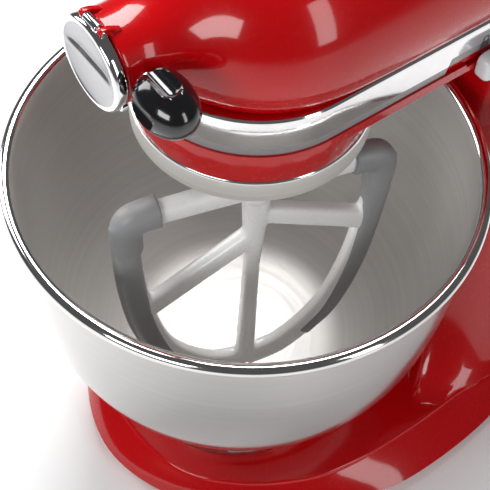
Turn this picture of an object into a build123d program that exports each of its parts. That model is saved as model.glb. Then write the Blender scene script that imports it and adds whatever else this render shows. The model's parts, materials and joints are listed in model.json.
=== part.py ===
from build123d import *
import math
import os

os.makedirs("parts", exist_ok=True)

# Tilt-head stand mixer. Origin: centre of the standing footprint box, on the floor.
# +Z is up, -Y is the front (attachment hub), +X is the side with the head lock.

# ---------------------------------------------------------------- driving dimensions
BOWL_Y = -69.0  # bowl and planetary axis
DECK_Z = 25.0  # flat deck that carries the bowl
RIM_Z = 204.0  # top of the bowl's rolled rim
HINGE_Y = 121.0  # head tilt pin
HINGE_Z = 219.0
COLUMN_TOP = 257.0
HEAD_BOTTOM = 259.0
BAND_LOW = 263.7  # trim band, lower and upper edges
BAND_HIGH = 283.5
HEAD_HALF_WIDTH = 54.0
HEAD_BULGE_Z = 299.0  # height of the head's widest line
HEAD_REAR_Y = 125.0  # centre of the round rear end
CASE_HALF_WIDTH = 50.5
COVER_SPLIT_Y = 152.0
HUB_Z = 304.6  # attachment hub axis
HUB_FACE = BOWL_Y - 69.2
HUB_BORE_R = 13.0
MOTOR_Z = 306.0
RUN = 0.05  # radial running clearance

ECCENTRICITY = 27.5
SHAFT_ANGLE = -28.7  # agitator shaft's bearing about the bowl axis
BEATER_ANGLE = 74.0  # plane of the beater about its shaft
AGITATOR_X = ECCENTRICITY * math.cos(math.radians(SHAFT_ANGLE))
AGITATOR_Y = BOWL_Y + ECCENTRICITY * math.sin(math.radians(SHAFT_ANGLE))

MODULE = 1.25
RING_TEETH = 58
AGITATOR_TEETH = 14
CENTRE_TEETH = 40
PINION_TEETH = 14
WORM_TEETH = 24
WORM_R = 6.0
BEVEL_MODULE = 1.6
CENTRE_BEVEL_TEETH = 30
HUB_BEVEL_TEETH = 18
BEVEL_FACE = 8.0

RING_Z = 250.0  # ring gear's lower face
RING_HEIGHT = 8.0
SPUR_Z = 274.0  # spur pair's lower face
WORM_GEAR_X = -(WORM_TEETH * MODULE / 2 + WORM_R)
SPUR_DISTANCE = (CENTRE_TEETH + PINION_TEETH) * MODULE / 2
WORM_GEAR_Y = BOWL_Y + math.sqrt(SPUR_DISTANCE**2 - WORM_GEAR_X**2)

BOWL_AXIS = Axis((0, BOWL_Y, 0), (0, 0, 1))
BOWL_SECTION = Plane(origin=(0, BOWL_Y, 0), x_dir=(1, 0, 0), z_dir=(0, -1, 0))


# ---------------------------------------------------------------- shared shapes
def upright(x, y, z):
    """A horizontal plane at a point, for vertical shafts, discs and posts."""
    return Plane(origin=(x, y, z), x_dir=(1, 0, 0), z_dir=(0, 0, 1))


def facing_back(x, y, z):
    """A plane at a point whose normal runs back along +Y."""
    return Plane(origin=(x, y, z), x_dir=(-1, 0, 0), z_dir=(0, 1, 0))


def facing_side(x, y, z):
    """A plane at a point whose normal runs along +X."""
    return Plane(origin=(x, y, z), x_dir=(0, 1, 0), z_dir=(1, 0, 0))


def disc(plane, radius, height, bore=0.0, mode=Mode.ADD):
    """A disc, or a ring when it has a bore, standing on a plane."""
    with BuildSketch(plane) as outline:
        Circle(radius)
        if bore:
            Circle(bore, mode=Mode.SUBTRACT)
    extrude(outline.sketch, amount=height, mode=mode)


def block(low, high, mode=Mode.ADD):
    """A rectangular block between two opposite corners."""
    size = [b - a for a, b in zip(low, high)]
    centre = [(a + b) / 2 for a, b in zip(low, high)]
    with Locations(tuple(centre)):
        Box(*size, mode=mode)


def turned(points, mode=Mode.ADD):
    """A solid of revolution about the bowl's axis, from (radius, height) corners."""
    with BuildSketch(BOWL_SECTION) as profile:
        with BuildLine():
            Polyline(*points, close=True)
        make_face()
    revolve(profile.sketch, axis=BOWL_AXIS, mode=mode)


def half_outline(points, z, inset=0.0):
    """A plan outline that is symmetric about X = 0, given by its +X half."""
    front = points[0][1]
    rear = points[-1][1]
    middle = (front + rear) / 2
    width = max(across for across, along in points)
    shrunk = [
        (across * (1 - inset / width), middle + (along - middle) * (1 - 2 * inset / (rear - front)))
        for across, along in points
    ]
    loop = shrunk + [(-across, along) for across, along in shrunk[-2:0:-1]]
    with BuildSketch(upright(0, BOWL_Y, z)) as outline:
        with BuildLine():
            Spline(*loop, periodic=True)
        make_face()
    return outline.sketch


def column_outline(half_width, front, rear, z, inset=0.0):
    """A rounded rectangular section of the column, drawn as one smooth loop."""
    rounding = 2 / 3.4
    half_depth = (rear - front) / 2 - inset
    middle = BOWL_Y + (rear + front) / 2
    points = []
    for step in range(28):
        angle = math.radians(step * 360 / 28)
        across = math.copysign(abs(math.cos(angle)) ** rounding, math.cos(angle))
        along = math.copysign(abs(math.sin(angle)) ** rounding, math.sin(angle))
        points.append(((half_width - inset) * across, middle + half_depth * along))
    with BuildSketch(Plane.XY.offset(z)) as outline:
        with BuildLine():
            Spline(*points, periodic=True)
        make_face()
    return outline.sketch


def capsule(half_width, low, high, mode=Mode.ADD):
    """The head's plan outline, round at both ends, between two heights."""
    length = HEAD_REAR_Y - BOWL_Y
    with BuildSketch(upright(0, (HEAD_REAR_Y + BOWL_Y) / 2, low)) as outline:
        SlotCenterToCenter(length, 2 * half_width, rotation=90)
    extrude(outline.sketch, amount=high - low, mode=mode)


def bullet(inset, mode=Mode.ADD):
    """The head's upper body: an arched section swept back and turned round at both ends."""
    half_width = HEAD_HALF_WIDTH - inset
    sill = CASE_HALF_WIDTH - 0.5 - inset
    for end_y in (BOWL_Y, HEAD_REAR_Y):
        with BuildSketch(Plane(origin=(0, end_y, 0), x_dir=(1, 0, 0), z_dir=(0, -1, 0))) as end:
            with BuildLine():
                Line((0, BAND_HIGH), (sill, BAND_HIGH))
                Line((sill, BAND_HIGH), (half_width, HEAD_BULGE_Z))
                RadiusArc((half_width, HEAD_BULGE_Z), (0, HEAD_BULGE_Z + half_width), -half_width)
                Line((0, HEAD_BULGE_Z + half_width), (0, BAND_HIGH))
            make_face()
        revolve(end.sketch, axis=Axis((0, end_y, 0), (0, 0, 1)), mode=mode)
    with BuildSketch(Plane(origin=(0, BOWL_Y, 0), x_dir=(1, 0, 0), z_dir=(0, -1, 0))) as middle:
        with BuildLine():
            Line((-sill, BAND_HIGH), (sill, BAND_HIGH))
            Line((sill, BAND_HIGH), (half_width, HEAD_BULGE_Z))
            RadiusArc((half_width, HEAD_BULGE_Z), (0, HEAD_BULGE_Z + half_width), -half_width)
            RadiusArc((0, HEAD_BULGE_Z + half_width), (-half_width, HEAD_BULGE_Z), -half_width)
            Line((-half_width, HEAD_BULGE_Z), (-sill, BAND_HIGH))
        make_face()
    extrude(middle.sketch, amount=-(HEAD_REAR_Y - BOWL_Y), mode=mode)


def gear_points(teeth, module, phase, share=0.40, internal=False):
    """Corners of a straight-flanked gear with a tooth, or a space if internal, at the phase."""
    pitch_r = teeth * module / 2
    addendum, dedendum = (1.1, 0.85) if internal else (0.85, 1.1)
    width = ((1 - share) if internal else share) * math.pi * module
    slope = math.tan(math.radians(20))
    tip_half = (width / 2 - addendum * module * slope) / (pitch_r + addendum * module)
    root_half = (width / 2 + dedendum * module * slope) / (pitch_r - dedendum * module)
    corners = []
    for tooth in range(teeth):
        middle = math.radians(phase) + tooth * 2 * math.pi / teeth
        for angle, radius in (
            (middle - root_half, pitch_r - dedendum * module),
            (middle - tip_half, pitch_r + addendum * module),
            (middle + tip_half, pitch_r + addendum * module),
            (middle + root_half, pitch_r - dedendum * module),
        ):
            corners.append((radius * math.cos(angle), radius * math.sin(angle)))
    return corners


def spur_gear(plane, teeth, phase, height, bore):
    """A spur gear with a round bore, standing on a plane."""
    with BuildSketch(plane) as outline:
        with BuildLine():
            Polyline(*gear_points(teeth, MODULE, phase), close=True)
        make_face()
        Circle(bore, mode=Mode.SUBTRACT)
    extrude(outline.sketch, amount=height)


def bevel_teeth(apex, axis, across, teeth, mate_teeth, first_tooth):
    """Straight bevel teeth about an axis that leaves the apex; across is where tooth zero points."""
    pitch_r = teeth * BEVEL_MODULE / 2
    drop = mate_teeth * BEVEL_MODULE / 2
    cone = math.hypot(pitch_r, drop)
    inner_scale = (cone - BEVEL_FACE) / cone
    axis = Vector(*axis)
    across = Vector(*across)
    apex = Vector(*apex)
    half = 0.40 * math.pi * BEVEL_MODULE / 2
    slope = math.tan(math.radians(20))
    for tooth in range(teeth):
        spoke = across.rotate(Axis((0, 0, 0), tuple(axis)), first_tooth + tooth * 360 / teeth)
        outward = (spoke * pitch_r + axis * drop).normalized()
        sideways = axis.cross(spoke)
        ends = []
        for scale in (1.0, inner_scale):
            origin = apex + outward * (cone * scale)
            facing = Plane(origin=tuple(origin), x_dir=tuple(sideways), z_dir=tuple(outward))
            with BuildSketch(facing) as end:
                low = -1.3 * BEVEL_MODULE * scale
                high = 0.8 * BEVEL_MODULE * scale
                wide = half * scale - low * slope
                narrow = half * scale - high * slope
                side = 1.0 if outward.cross(sideways).dot(axis) < 0 else -1.0
                with BuildLine():
                    Polyline(
                        (-wide, side * low),
                        (wide, side * low),
                        (narrow, side * high),
                        (-narrow, side * high),
                        close=True,
                    )
                make_face()
            ends.append(end.sketch)
        loft(ends)


# ---------------------------------------------------------------- base
FOOT_OUTLINE = [(0, -85), (39, -74), (71, -46), (94, -8), (107, 25), (110.5, 58), (108, 98),
                (99, 142), (86, 180), (56, 207), (0, 214)]
CREST_OUTLINE = [(0, -71.5), (38, -64.5), (64, -42), (82, -12), (89, 14), (91.5, 46), (91, 84),
                 (86, 128), (75, 168), (48, 196), (0, 204)]
COLUMN_SECTIONS = [  # half width, front and rear behind the bowl axis, height
    (100, 46, 208, 14),
    (84, 72, 208, 40),
    (67, 94, 209, 84),
    (57, 108, 211, 132),
    (52, 116, 213, 190),
    (50.5, 118, 214, COLUMN_TOP),
]
REAR_FOOT_SPOTS = [(62, 118), (-62, 118)]
FOOT_SPOTS = [(0, BOWL_Y - 66), (82, BOWL_Y + 18), (-82, BOWL_Y + 18)] + REAR_FOOT_SPOTS
BASE_WALL = 5.0
BOSS_R = 14.0  # bosses that hold the feet
PLATE_SCREW_PCD = 92.0
LUG_SLOT_HALF = 18.5

with BuildPart() as base_casting:
    loft([half_outline(FOOT_OUTLINE, 3.0, inset=6.0), half_outline(FOOT_OUTLINE, 10.0),
          half_outline(CREST_OUTLINE, DECK_Z)], ruled=True)
    loft([column_outline(*section) for section in COLUMN_SECTIONS])
    # The column is scooped out round the bowl.
    turned([(0, DECK_Z), (102, DECK_Z), (106, 60), (112, 110), (114.5, 150), (114.5, 260), (0, 260)],
           mode=Mode.SUBTRACT)
    # Hollow casting: a pocket under the deck and a cavity up the column.
    with BuildSketch() as pocket:
        add(half_outline(CREST_OUTLINE, 0.0, inset=BASE_WALL))
        with Locations(*FOOT_SPOTS):
            Circle(BOSS_R, mode=Mode.SUBTRACT)
    extrude(pocket.sketch, amount=DECK_Z - BASE_WALL, mode=Mode.SUBTRACT)
    loft([column_outline(half_width, front + BASE_WALL, rear, height - 6, inset=BASE_WALL)
          for half_width, front, rear, height in COLUMN_SECTIONS[:5]], mode=Mode.SUBTRACT)
    for x, y in REAR_FOOT_SPOTS:
        disc(upright(x, y, 4.0), 12.5, 12.0)
    # Fork for the head's hinge lug, open to the rear.
    block((-LUG_SLOT_HALF, 90, HINGE_Z - 16), (LUG_SLOT_HALF, 160, 300), mode=Mode.SUBTRACT)
    # The top rounds away behind the pin so the tilting head clears it.
    with BuildSketch(facing_side(0, HINGE_Y, HINGE_Z)):
        with Locations((40, 40)):
            Rectangle(80, 80)
        Circle(37.5, mode=Mode.SUBTRACT)
    extrude(amount=80, both=True, mode=Mode.SUBTRACT)
    with BuildSketch(facing_side(0, HINGE_Y, HINGE_Z)):
        Circle(5.0)
    extrude(amount=80, both=True, mode=Mode.SUBTRACT)
    # Pocket for the head lock and its strike plate, and the stop screw's hole.
    block((24, 66, 244), (42, 102, 300), mode=Mode.SUBTRACT)
    disc(upright(0, 66, 240), 4.0, 30, mode=Mode.SUBTRACT)
    with Locations(upright(0, BOWL_Y, 0)):
        with PolarLocations(PLATE_SCREW_PCD / 2, 4, start_angle=45):
            Cylinder(2.0, 80, mode=Mode.SUBTRACT)
    for x, y in FOOT_SPOTS:
        disc(upright(x, y, 2.0), 11.0, 6.0, mode=Mode.SUBTRACT)
base_casting.part.label = "base_casting"
export_step(base_casting.part, "parts/base_casting.step")

with BuildPart() as rubber_feet:
    for x, y in FOOT_SPOTS:
        disc(upright(x, y, 0), 11.0, 8.0)
    chamfer(rubber_feet.edges().group_by(Axis.Z)[0], length=1.0)
rubber_feet.part.label = "rubber_feet"
export_step(rubber_feet.part, "parts/rubber_feet.step")

PLATE_TOP = DECK_Z + 4.0
LUG_LOW = PLATE_TOP + 0.6
LUG_HIGH = LUG_LOW + 3.8
with BuildPart() as bowl_clamp_plate:
    disc(upright(0, BOWL_Y, DECK_Z), 60.0, 4.0)
    turned([(54.6, PLATE_TOP), (54.6, 39), (60, 39), (60, PLATE_TOP)])
    # Bayonet groove under the ring's lip, with two entry slots.
    groove_top = LUG_HIGH + 0.6
    turned([(54, PLATE_TOP), (58, PLATE_TOP), (58, groove_top), (54, groove_top)], mode=Mode.SUBTRACT)
    with Locations(upright(0, BOWL_Y, 34)):
        with PolarLocations(56, 2, start_angle=-30):
            Box(8, 19, 10, mode=Mode.SUBTRACT)
        with PolarLocations(PLATE_SCREW_PCD / 2, 4, start_angle=45):
            Cylinder(2.0, 30, mode=Mode.SUBTRACT)
    with Locations(upright(0, BOWL_Y, PLATE_TOP)):
        with PolarLocations(PLATE_SCREW_PCD / 2, 4, start_angle=45):
            Cone(2.0, 4.0, 2.0, align=(Align.CENTER, Align.CENTER, Align.MAX), mode=Mode.SUBTRACT)
bowl_clamp_plate.part.label = "bowl_clamp_plate"
export_step(bowl_clamp_plate.part, "parts/bowl_clamp_plate.step")

with BuildPart() as clamp_plate_screws:
    with Locations(upright(0, BOWL_Y, PLATE_TOP)):
        with PolarLocations(PLATE_SCREW_PCD / 2, 4, start_angle=45):
            Cone(2.0, 4.0, 2.0, align=(Align.CENTER, Align.CENTER, Align.MAX))
    with Locations(upright(0, BOWL_Y, DECK_Z - 5.0)):
        with PolarLocations(PLATE_SCREW_PCD / 2, 4, start_angle=45):
            Cylinder(2.0, 7.0, align=(Align.CENTER, Align.CENTER, Align.MIN))
clamp_plate_screws.part.label = "clamp_plate_screws"
export_step(clamp_plate_screws.part, "parts/clamp_plate_screws.step")

with BuildPart() as hinge_pin:
    with BuildSketch(facing_side(-49.0, HINGE_Y, HINGE_Z)):
        Circle(5.0)
    extrude(amount=98.0)
hinge_pin.part.label = "hinge_pin"
export_step(hinge_pin.part, "parts/hinge_pin.step")

with BuildPart() as head_stop_screw:
    disc(upright(0, 66, 240), 4.0, HEAD_BOTTOM - 0.05 - 240)
head_stop_screw.part.label = "head_stop_screw"
export_step(head_stop_screw.part, "parts/head_stop_screw.step")

with BuildPart() as lock_strike_plate:
    block((24, 66, 252), (42, 102, 255))
    block((26.5, 82, 250), (39.5, 102, 260), mode=Mode.SUBTRACT)
    block((29.5, 70, 250), (36.5, 84, 260), mode=Mode.SUBTRACT)
lock_strike_plate.part.label = "lock_strike_plate"
export_step(lock_strike_plate.part, "parts/lock_strike_plate.step")

# ---------------------------------------------------------------- bowl
BOWL_WALL = 1.2
BEAD_R = 3.0  # rolled rim
BOWL_PROFILE = [(105.5, 198), (105, 163), (102, 131), (94, 102), (76, 73), (50, 56), (0, 50)]


def inset_profile(points, depth):
    """The same profile moved inwards, square to itself, by the wall's thickness."""
    moved = []
    for index, (radius, height) in enumerate(points):
        before = points[max(index - 1, 0)]
        after = points[min(index + 1, len(points) - 1)]
        along = math.hypot(after[0] - before[0], after[1] - before[1])
        step_r = (after[1] - before[1]) / along * depth
        step_z = -(after[0] - before[0]) / along * depth
        moved.append((radius + step_r, height + step_z))
    moved[0] = (points[0][0] - depth, points[0][1])
    moved[-1] = (0, points[-1][1] + depth)
    return moved


def bowl_cup(points, top, mode=Mode.ADD):
    """The solid inside a bowl profile, up to a height."""
    with BuildSketch(BOWL_SECTION) as profile:
        with BuildLine():
            Spline(*points, tangents=[(0, -1), (-1, 0)])
            Polyline(points[-1], (0, top), (points[0][0], top), points[0])
        make_face()
    revolve(profile.sketch, axis=BOWL_AXIS, mode=mode)


with BuildPart() as bowl:
    bowl_cup(BOWL_PROFILE, 200)
    with BuildSketch(BOWL_SECTION):
        with Locations((107, RIM_Z - BEAD_R)):
            Circle(BEAD_R)
    revolve(axis=BOWL_AXIS)
    bowl_cup(inset_profile(BOWL_PROFILE, BOWL_WALL), 210, mode=Mode.SUBTRACT)
bowl.part.label = "bowl"
export_step(bowl.part, "parts/bowl.step")

with BuildPart() as bowl_foot:
    turned([(51.4, PLATE_TOP + 0.1), (54.2, PLATE_TOP + 0.1), (54.2, 62), (51.4, 62)])
    with Locations(upright(0, BOWL_Y, (LUG_LOW + LUG_HIGH) / 2)):
        with PolarLocations(55.2, 2):
            Box(4.4, 14, LUG_HIGH - LUG_LOW)
    bowl_cup(BOWL_PROFILE, 200, mode=Mode.SUBTRACT)
bowl_foot.part.label = "bowl_foot"
export_step(bowl_foot.part, "parts/bowl_foot.step")

# ---------------------------------------------------------------- head casings
BOSS_LOW = 249.0
CASE_FLOOR = 262.0
CASE_SCREWS = [(43.5, -30), (-43.5, -30), (43.5, 118), (-43.5, 118)]
LEVER_Y = 6.0  # front end of both levers' handles at rest
LOCK_TRAVEL = 10.0
SPEED_TRAVEL = 40.0
ARM_LOW = 262.3
ARM_HIGH = 263.5
CORD_HOLE = (0, 158)

with BuildPart() as gearcase:
    capsule(CASE_HALF_WIDTH, HEAD_BOTTOM, BAND_LOW)
    capsule(CASE_HALF_WIDTH - 1.5, BAND_LOW, BAND_HIGH)
    disc(upright(0, BOWL_Y, BOSS_LOW), CASE_HALF_WIDTH, HEAD_BOTTOM - BOSS_LOW)
    capsule(CASE_HALF_WIDTH - 4.5, CASE_FLOOR, BAND_HIGH, mode=Mode.SUBTRACT)
    # Hinge lug.
    with BuildSketch(facing_side(-18, 0, 0)):
        with BuildLine():
            Polyline((98, CASE_FLOOR), (108, HINGE_Z), (134, HINGE_Z), (142, CASE_FLOOR), close=True)
        make_face()
        with Locations((HINGE_Y, HINGE_Z)):
            Circle(14.0)
            Circle(5.0 + RUN, mode=Mode.SUBTRACT)
    extrude(amount=36)
    # Posts for the housing screws and the worm gear's pin.
    for x, y in CASE_SCREWS:
        disc(upright(x, y, HEAD_BOTTOM), 5.5, BAND_HIGH - HEAD_BOTTOM)
    disc(upright(WORM_GEAR_X, WORM_GEAR_Y, HEAD_BOTTOM), 7.0, 11.0)
    disc(upright(WORM_GEAR_X, WORM_GEAR_Y, HEAD_BOTTOM + 2), 3.0, 20.0, mode=Mode.SUBTRACT)
    for x, y in CASE_SCREWS:
        disc(upright(x, y, 250), 2.0, 50, mode=Mode.SUBTRACT)
        disc(upright(x, y, 250), 3.6, 11.5, mode=Mode.SUBTRACT)
    # Ring gear seat, centre shaft bush and its raised collar.
    ring_seat_top = RING_Z + RING_HEIGHT + 0.5
    disc(upright(0, BOWL_Y, BOSS_LOW - 1), 43.0, ring_seat_top - BOSS_LOW + 1, mode=Mode.SUBTRACT)
    disc(upright(0, BOWL_Y, CASE_FLOOR), 14.0, 5.0)
    disc(upright(0, BOWL_Y, 250), 10.0, 30, mode=Mode.SUBTRACT)
    # Slots for the two levers, the lock's tongue and the cord bushing.
    slot_top = BAND_LOW + 0.1
    block((40, LEVER_Y + 5.5 - LOCK_TRAVEL, CASE_FLOOR), (56, LEVER_Y + 14.5, slot_top), mode=Mode.SUBTRACT)
    speed_slot_end = LEVER_Y + 14.5 + SPEED_TRAVEL
    block((-56, LEVER_Y + 5.5, CASE_FLOOR), (-40, speed_slot_end, slot_top), mode=Mode.SUBTRACT)
    block((27, 72, 250), (39, 89.5, 265), mode=Mode.SUBTRACT)
    disc(upright(*CORD_HOLE, 250), 6.0, 20, mode=Mode.SUBTRACT)
gearcase.part.label = "gearcase"
export_step(gearcase.part, "parts/gearcase.step")

with BuildPart() as trim_band:
    capsule(CASE_HALF_WIDTH - 0.1, BAND_LOW + 0.1, BAND_HIGH - 0.1)
    capsule(CASE_HALF_WIDTH - 1.4, BAND_LOW, BAND_HIGH, mode=Mode.SUBTRACT)
    # The lower edge steps up over each lever.
    for left in (-56, 44):
        block((left, -10, 260), (left + 12, 66, BAND_LOW + 4), mode=Mode.SUBTRACT)
trim_band.part.label = "trim_band"
export_step(trim_band.part, "parts/trim_band.step")

CAP_PIVOT_Y = HUB_FACE - 2.2
CAP_PIVOT_Z = HUB_Z + 18.6
STUD_Y = BOWL_Y - 63.0
STUD_Z = HUB_Z + 1.4
BRUSH_Y = 129.0
SKIN = 3.0
HUB_SEAT = BOWL_Y - 39.0

with BuildPart() as upper_housing:
    bullet(0.0)
    with BuildSketch(facing_back(0, HUB_FACE, HUB_Z)):
        Circle(18.5)
    extrude(amount=5.0)
    with BuildSketch(facing_back(0, HUB_FACE + 4.0, HUB_Z)):
        Circle(17.5)
    extrude(amount=36.0)
    with Locations(facing_back(0, BOWL_Y - 51.0, HUB_Z)):
        Cone(17.5, 26.0, 14.0)
    bullet(SKIN, mode=Mode.SUBTRACT)
    with BuildSketch(facing_back(0, BOWL_Y - 50.0, HUB_Z)):
        Circle(20.0)
    extrude(amount=17.0)
    block((-40, BOWL_Y - 60, 260), (40, BOWL_Y, BAND_HIGH), mode=Mode.SUBTRACT)
    # Ears for the cap's pin.
    for side in (-1, 1):
        with BuildSketch(facing_side(side * 5.9 - 1.6, CAP_PIVOT_Y, CAP_PIVOT_Z)):
            Circle(1.9)
            with Locations((3.2, 0)):
                Rectangle(4.4, 3.2)
            with Locations((4.2, -2.4)):
                Rectangle(4.0, 6.0)
        extrude(amount=3.2)
    with BuildSketch(facing_back(0, HUB_FACE - 1, HUB_Z)):
        Circle(HUB_BORE_R)
    extrude(amount=HUB_SEAT - HUB_FACE + 1, mode=Mode.SUBTRACT)
    with BuildSketch(facing_back(0, HUB_SEAT, HUB_Z)):
        Circle(14.0)
    extrude(amount=20.0, mode=Mode.SUBTRACT)
    with BuildSketch(facing_side(-20, CAP_PIVOT_Y, CAP_PIVOT_Z)):
        Circle(0.9)
    extrude(amount=40, mode=Mode.SUBTRACT)
    with BuildSketch(facing_side(10, STUD_Y, STUD_Z)):
        Circle(3.0 + RUN)
    extrude(amount=20, mode=Mode.SUBTRACT)
    with BuildSketch(facing_side(0, BRUSH_Y, MOTOR_Z)):
        Circle(8.0)
    extrude(amount=80, both=True, mode=Mode.SUBTRACT)
    for x, y in CASE_SCREWS:
        disc(upright(x, y, BAND_HIGH), 6.0, 8.0)
    for x, y in CASE_SCREWS:
        disc(upright(x, y, BAND_HIGH - 1), 2.0, 8.0, mode=Mode.SUBTRACT)
    split(bisect_by=Plane(origin=(0, COVER_SPLIT_Y, 0), z_dir=(0, -1, 0)))
upper_housing.part.label = "upper_housing"
export_step(upper_housing.part, "parts/upper_housing.step")

REAR_END_Y = HEAD_REAR_Y + HEAD_HALF_WIDTH
with BuildPart() as rear_cover:
    bullet(0.0)
    bullet(SKIN, mode=Mode.SUBTRACT)
    split(bisect_by=Plane(origin=(0, COVER_SPLIT_Y, 0), z_dir=(0, 1, 0)))
    with BuildSketch(facing_back(0, REAR_END_Y - 12, HEAD_BULGE_Z)):
        Circle(7.0)
    extrude(amount=10.0)
    with BuildSketch(facing_back(0, COVER_SPLIT_Y, HEAD_BULGE_Z)):
        Circle(2.0)
    extrude(amount=40.0, mode=Mode.SUBTRACT)
    with BuildSketch(facing_back(0, REAR_END_Y - 4.0, HEAD_BULGE_Z)):
        Circle(4.5)
    extrude(amount=10.0, mode=Mode.SUBTRACT)
rear_cover.part.label = "rear_cover"
export_step(rear_cover.part, "parts/rear_cover.step")

with BuildPart() as rear_cover_screw:
    with BuildSketch(facing_back(0, COVER_SPLIT_Y + 1.0, HEAD_BULGE_Z)):
        Circle(2.0)
    extrude(amount=REAR_END_Y - 4.0 - COVER_SPLIT_Y - 1.0)
    with BuildSketch(facing_back(0, REAR_END_Y - 4.0, HEAD_BULGE_Z)):
        Circle(4.3)
    extrude(amount=2.8)
rear_cover_screw.part.label = "rear_cover_screw"
export_step(rear_cover_screw.part, "parts/rear_cover_screw.step")

with BuildPart() as housing_screws:
    for x, y in CASE_SCREWS:
        disc(upright(x, y, HEAD_BOTTOM + 0.3), 3.5, 2.2)
        disc(upright(x, y, HEAD_BOTTOM + 2.0), 2.0, BAND_HIGH + 6.5 - HEAD_BOTTOM - 2.0)
housing_screws.part.label = "housing_screws"
export_step(housing_screws.part, "parts/housing_screws.step")

with BuildPart() as cord_bushing:
    disc(upright(*CORD_HOLE, HEAD_BOTTOM - 5), 6.0, CASE_FLOOR - HEAD_BOTTOM + 5, bore=3.6)
    disc(upright(*CORD_HOLE, HEAD_BOTTOM - 2.5), 8.0, 2.5, bore=3.6)
    disc(upright(*CORD_HOLE, CASE_FLOOR), 7.5, 2.0, bore=3.6)
cord_bushing.part.label = "cord_bushing"
export_step(cord_bushing.part, "parts/cord_bushing.step")

# ---------------------------------------------------------------- attachment hub
CAP_FRONT = BOWL_Y - 74.7
CAP_BACK = HUB_FACE - 0.8
with BuildPart() as hub_cap:
    with BuildSketch(facing_back(0, CAP_FRONT, HUB_Z)):
        Circle(19.0)
    extrude(amount=CAP_BACK - CAP_FRONT)
    chamfer(hub_cap.edges().group_by(Axis.Y)[0], length=1.2)
    # Dished face with a plain raised bar across it.
    with BuildSketch(facing_back(0, CAP_FRONT, HUB_Z)):
        Circle(16.2)
    extrude(amount=1.0, mode=Mode.SUBTRACT)
    with BuildSketch(facing_back(0, CAP_FRONT + 0.3, HUB_Z)):
        Rectangle(30.0, 4.6)
    extrude(amount=1.2)
    # Hinge knuckle between the housing's ears, with room for the ears.
    with BuildSketch(facing_side(-8, CAP_PIVOT_Y, CAP_PIVOT_Z)):
        Circle(2.4)
    extrude(amount=16, mode=Mode.SUBTRACT)
    with BuildSketch(facing_side(-4, CAP_PIVOT_Y, CAP_PIVOT_Z)):
        Circle(1.9)
        with Locations((-1.2, -2.0)):
            Rectangle(1.6, 4.0)
    extrude(amount=8)
    with BuildSketch(facing_side(-8, CAP_PIVOT_Y, CAP_PIVOT_Z)):
        Circle(0.9 + RUN)
    extrude(amount=16, mode=Mode.SUBTRACT)
    # Finger tab at the lower edge on the +X side.
    with Locations(Plane(origin=(0, CAP_BACK - 1.5, HUB_Z), x_dir=(1, 0, 0), z_dir=(0, -1, 0))):
        with PolarLocations(19.6, 1, start_angle=-28):
            Box(3.6, 5.0, 3.0)
hub_cap.part.label = "hub_cap"
export_step(hub_cap.part, "parts/hub_cap.step")

with BuildPart() as hub_cap_pin:
    with BuildSketch(facing_side(-7.5, CAP_PIVOT_Y, CAP_PIVOT_Z)):
        Circle(0.9)
    extrude(amount=15)
hub_cap_pin.part.label = "hub_cap_pin"
export_step(hub_cap_pin.part, "parts/hub_cap_pin.step")

with BuildPart() as hub_bush:
    with BuildSketch(facing_back(0, HUB_SEAT + 0.2, HUB_Z)):
        Circle(14.0)
        Circle(11.0 + RUN, mode=Mode.SUBTRACT)
    extrude(amount=5.8)
hub_bush.part.label = "hub_bush"
export_step(hub_bush.part, "parts/hub_bush.step")

KNOB_START = 21.5
KNOB_END = 46.0
KNOB_R = 10.8
with BuildPart() as knob_stud:
    with BuildSketch(facing_side(13.4, STUD_Y, STUD_Z)):
        Circle(3.0)
    extrude(amount=9.0)
    with BuildSketch(facing_side(18.7, STUD_Y, STUD_Z)):
        Circle(4.4)
    extrude(amount=KNOB_START - 18.7)
    with BuildSketch(facing_side(KNOB_START, STUD_Y, STUD_Z)):
        Circle(3.0)
    extrude(amount=8.0)
knob_stud.part.label = "knob_stud"
export_step(knob_stud.part, "parts/knob_stud.step")

with BuildPart() as attachment_knob:
    with BuildSketch(Plane(origin=(0, STUD_Y, STUD_Z), x_dir=(1, 0, 0), z_dir=(0, -1, 0))):
        with BuildLine():
            Line((KNOB_START, 0), (KNOB_START, 7.0))
            Spline((KNOB_START, 7.0), (KNOB_START + 6, KNOB_R - 0.6), (KNOB_END - 12, KNOB_R),
                   (KNOB_END - 3.5, 7.4), (KNOB_END, 0), tangents=[(1, 0.6), (0, -1)])
            Line((KNOB_END, 0), (KNOB_START, 0))
        make_face()
    revolve(axis=Axis((0, STUD_Y, STUD_Z), (1, 0, 0)))
    # Four flutes run from the shank end.
    with Locations(facing_side(KNOB_START + 6.0, STUD_Y, STUD_Z)):
        with PolarLocations(13.2, 4, start_angle=45):
            Cylinder(4.6, 14.0, mode=Mode.SUBTRACT)
    with BuildSketch(facing_side(KNOB_START, STUD_Y, STUD_Z)):
        Circle(3.0)
    extrude(amount=8.0, mode=Mode.SUBTRACT)
attachment_knob.part.label = "attachment_knob"
export_step(attachment_knob.part, "parts/attachment_knob.step")

BEVEL_APEX = (0, BOWL_Y, HUB_Z)
CENTRE_BEVEL_R = CENTRE_BEVEL_TEETH * BEVEL_MODULE / 2
HUB_BEVEL_R = HUB_BEVEL_TEETH * BEVEL_MODULE / 2
CONE_SCALE = (math.hypot(CENTRE_BEVEL_R, HUB_BEVEL_R) - BEVEL_FACE) / math.hypot(CENTRE_BEVEL_R, HUB_BEVEL_R)


def bevel_blank(pitch_r, drop):
    """Corners of a bevel gear's blank, as (radius, distance from the apex), just past the teeth's ends."""
    sine = pitch_r / math.hypot(pitch_r, drop)
    cosine = drop / math.hypot(pitch_r, drop)
    root = 1.15 * BEVEL_MODULE
    corners = []
    for scale in (1.04, CONE_SCALE - 0.04):
        corners.append((scale * (pitch_r - root * cosine), scale * (drop + root * sine)))
    return corners


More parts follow.
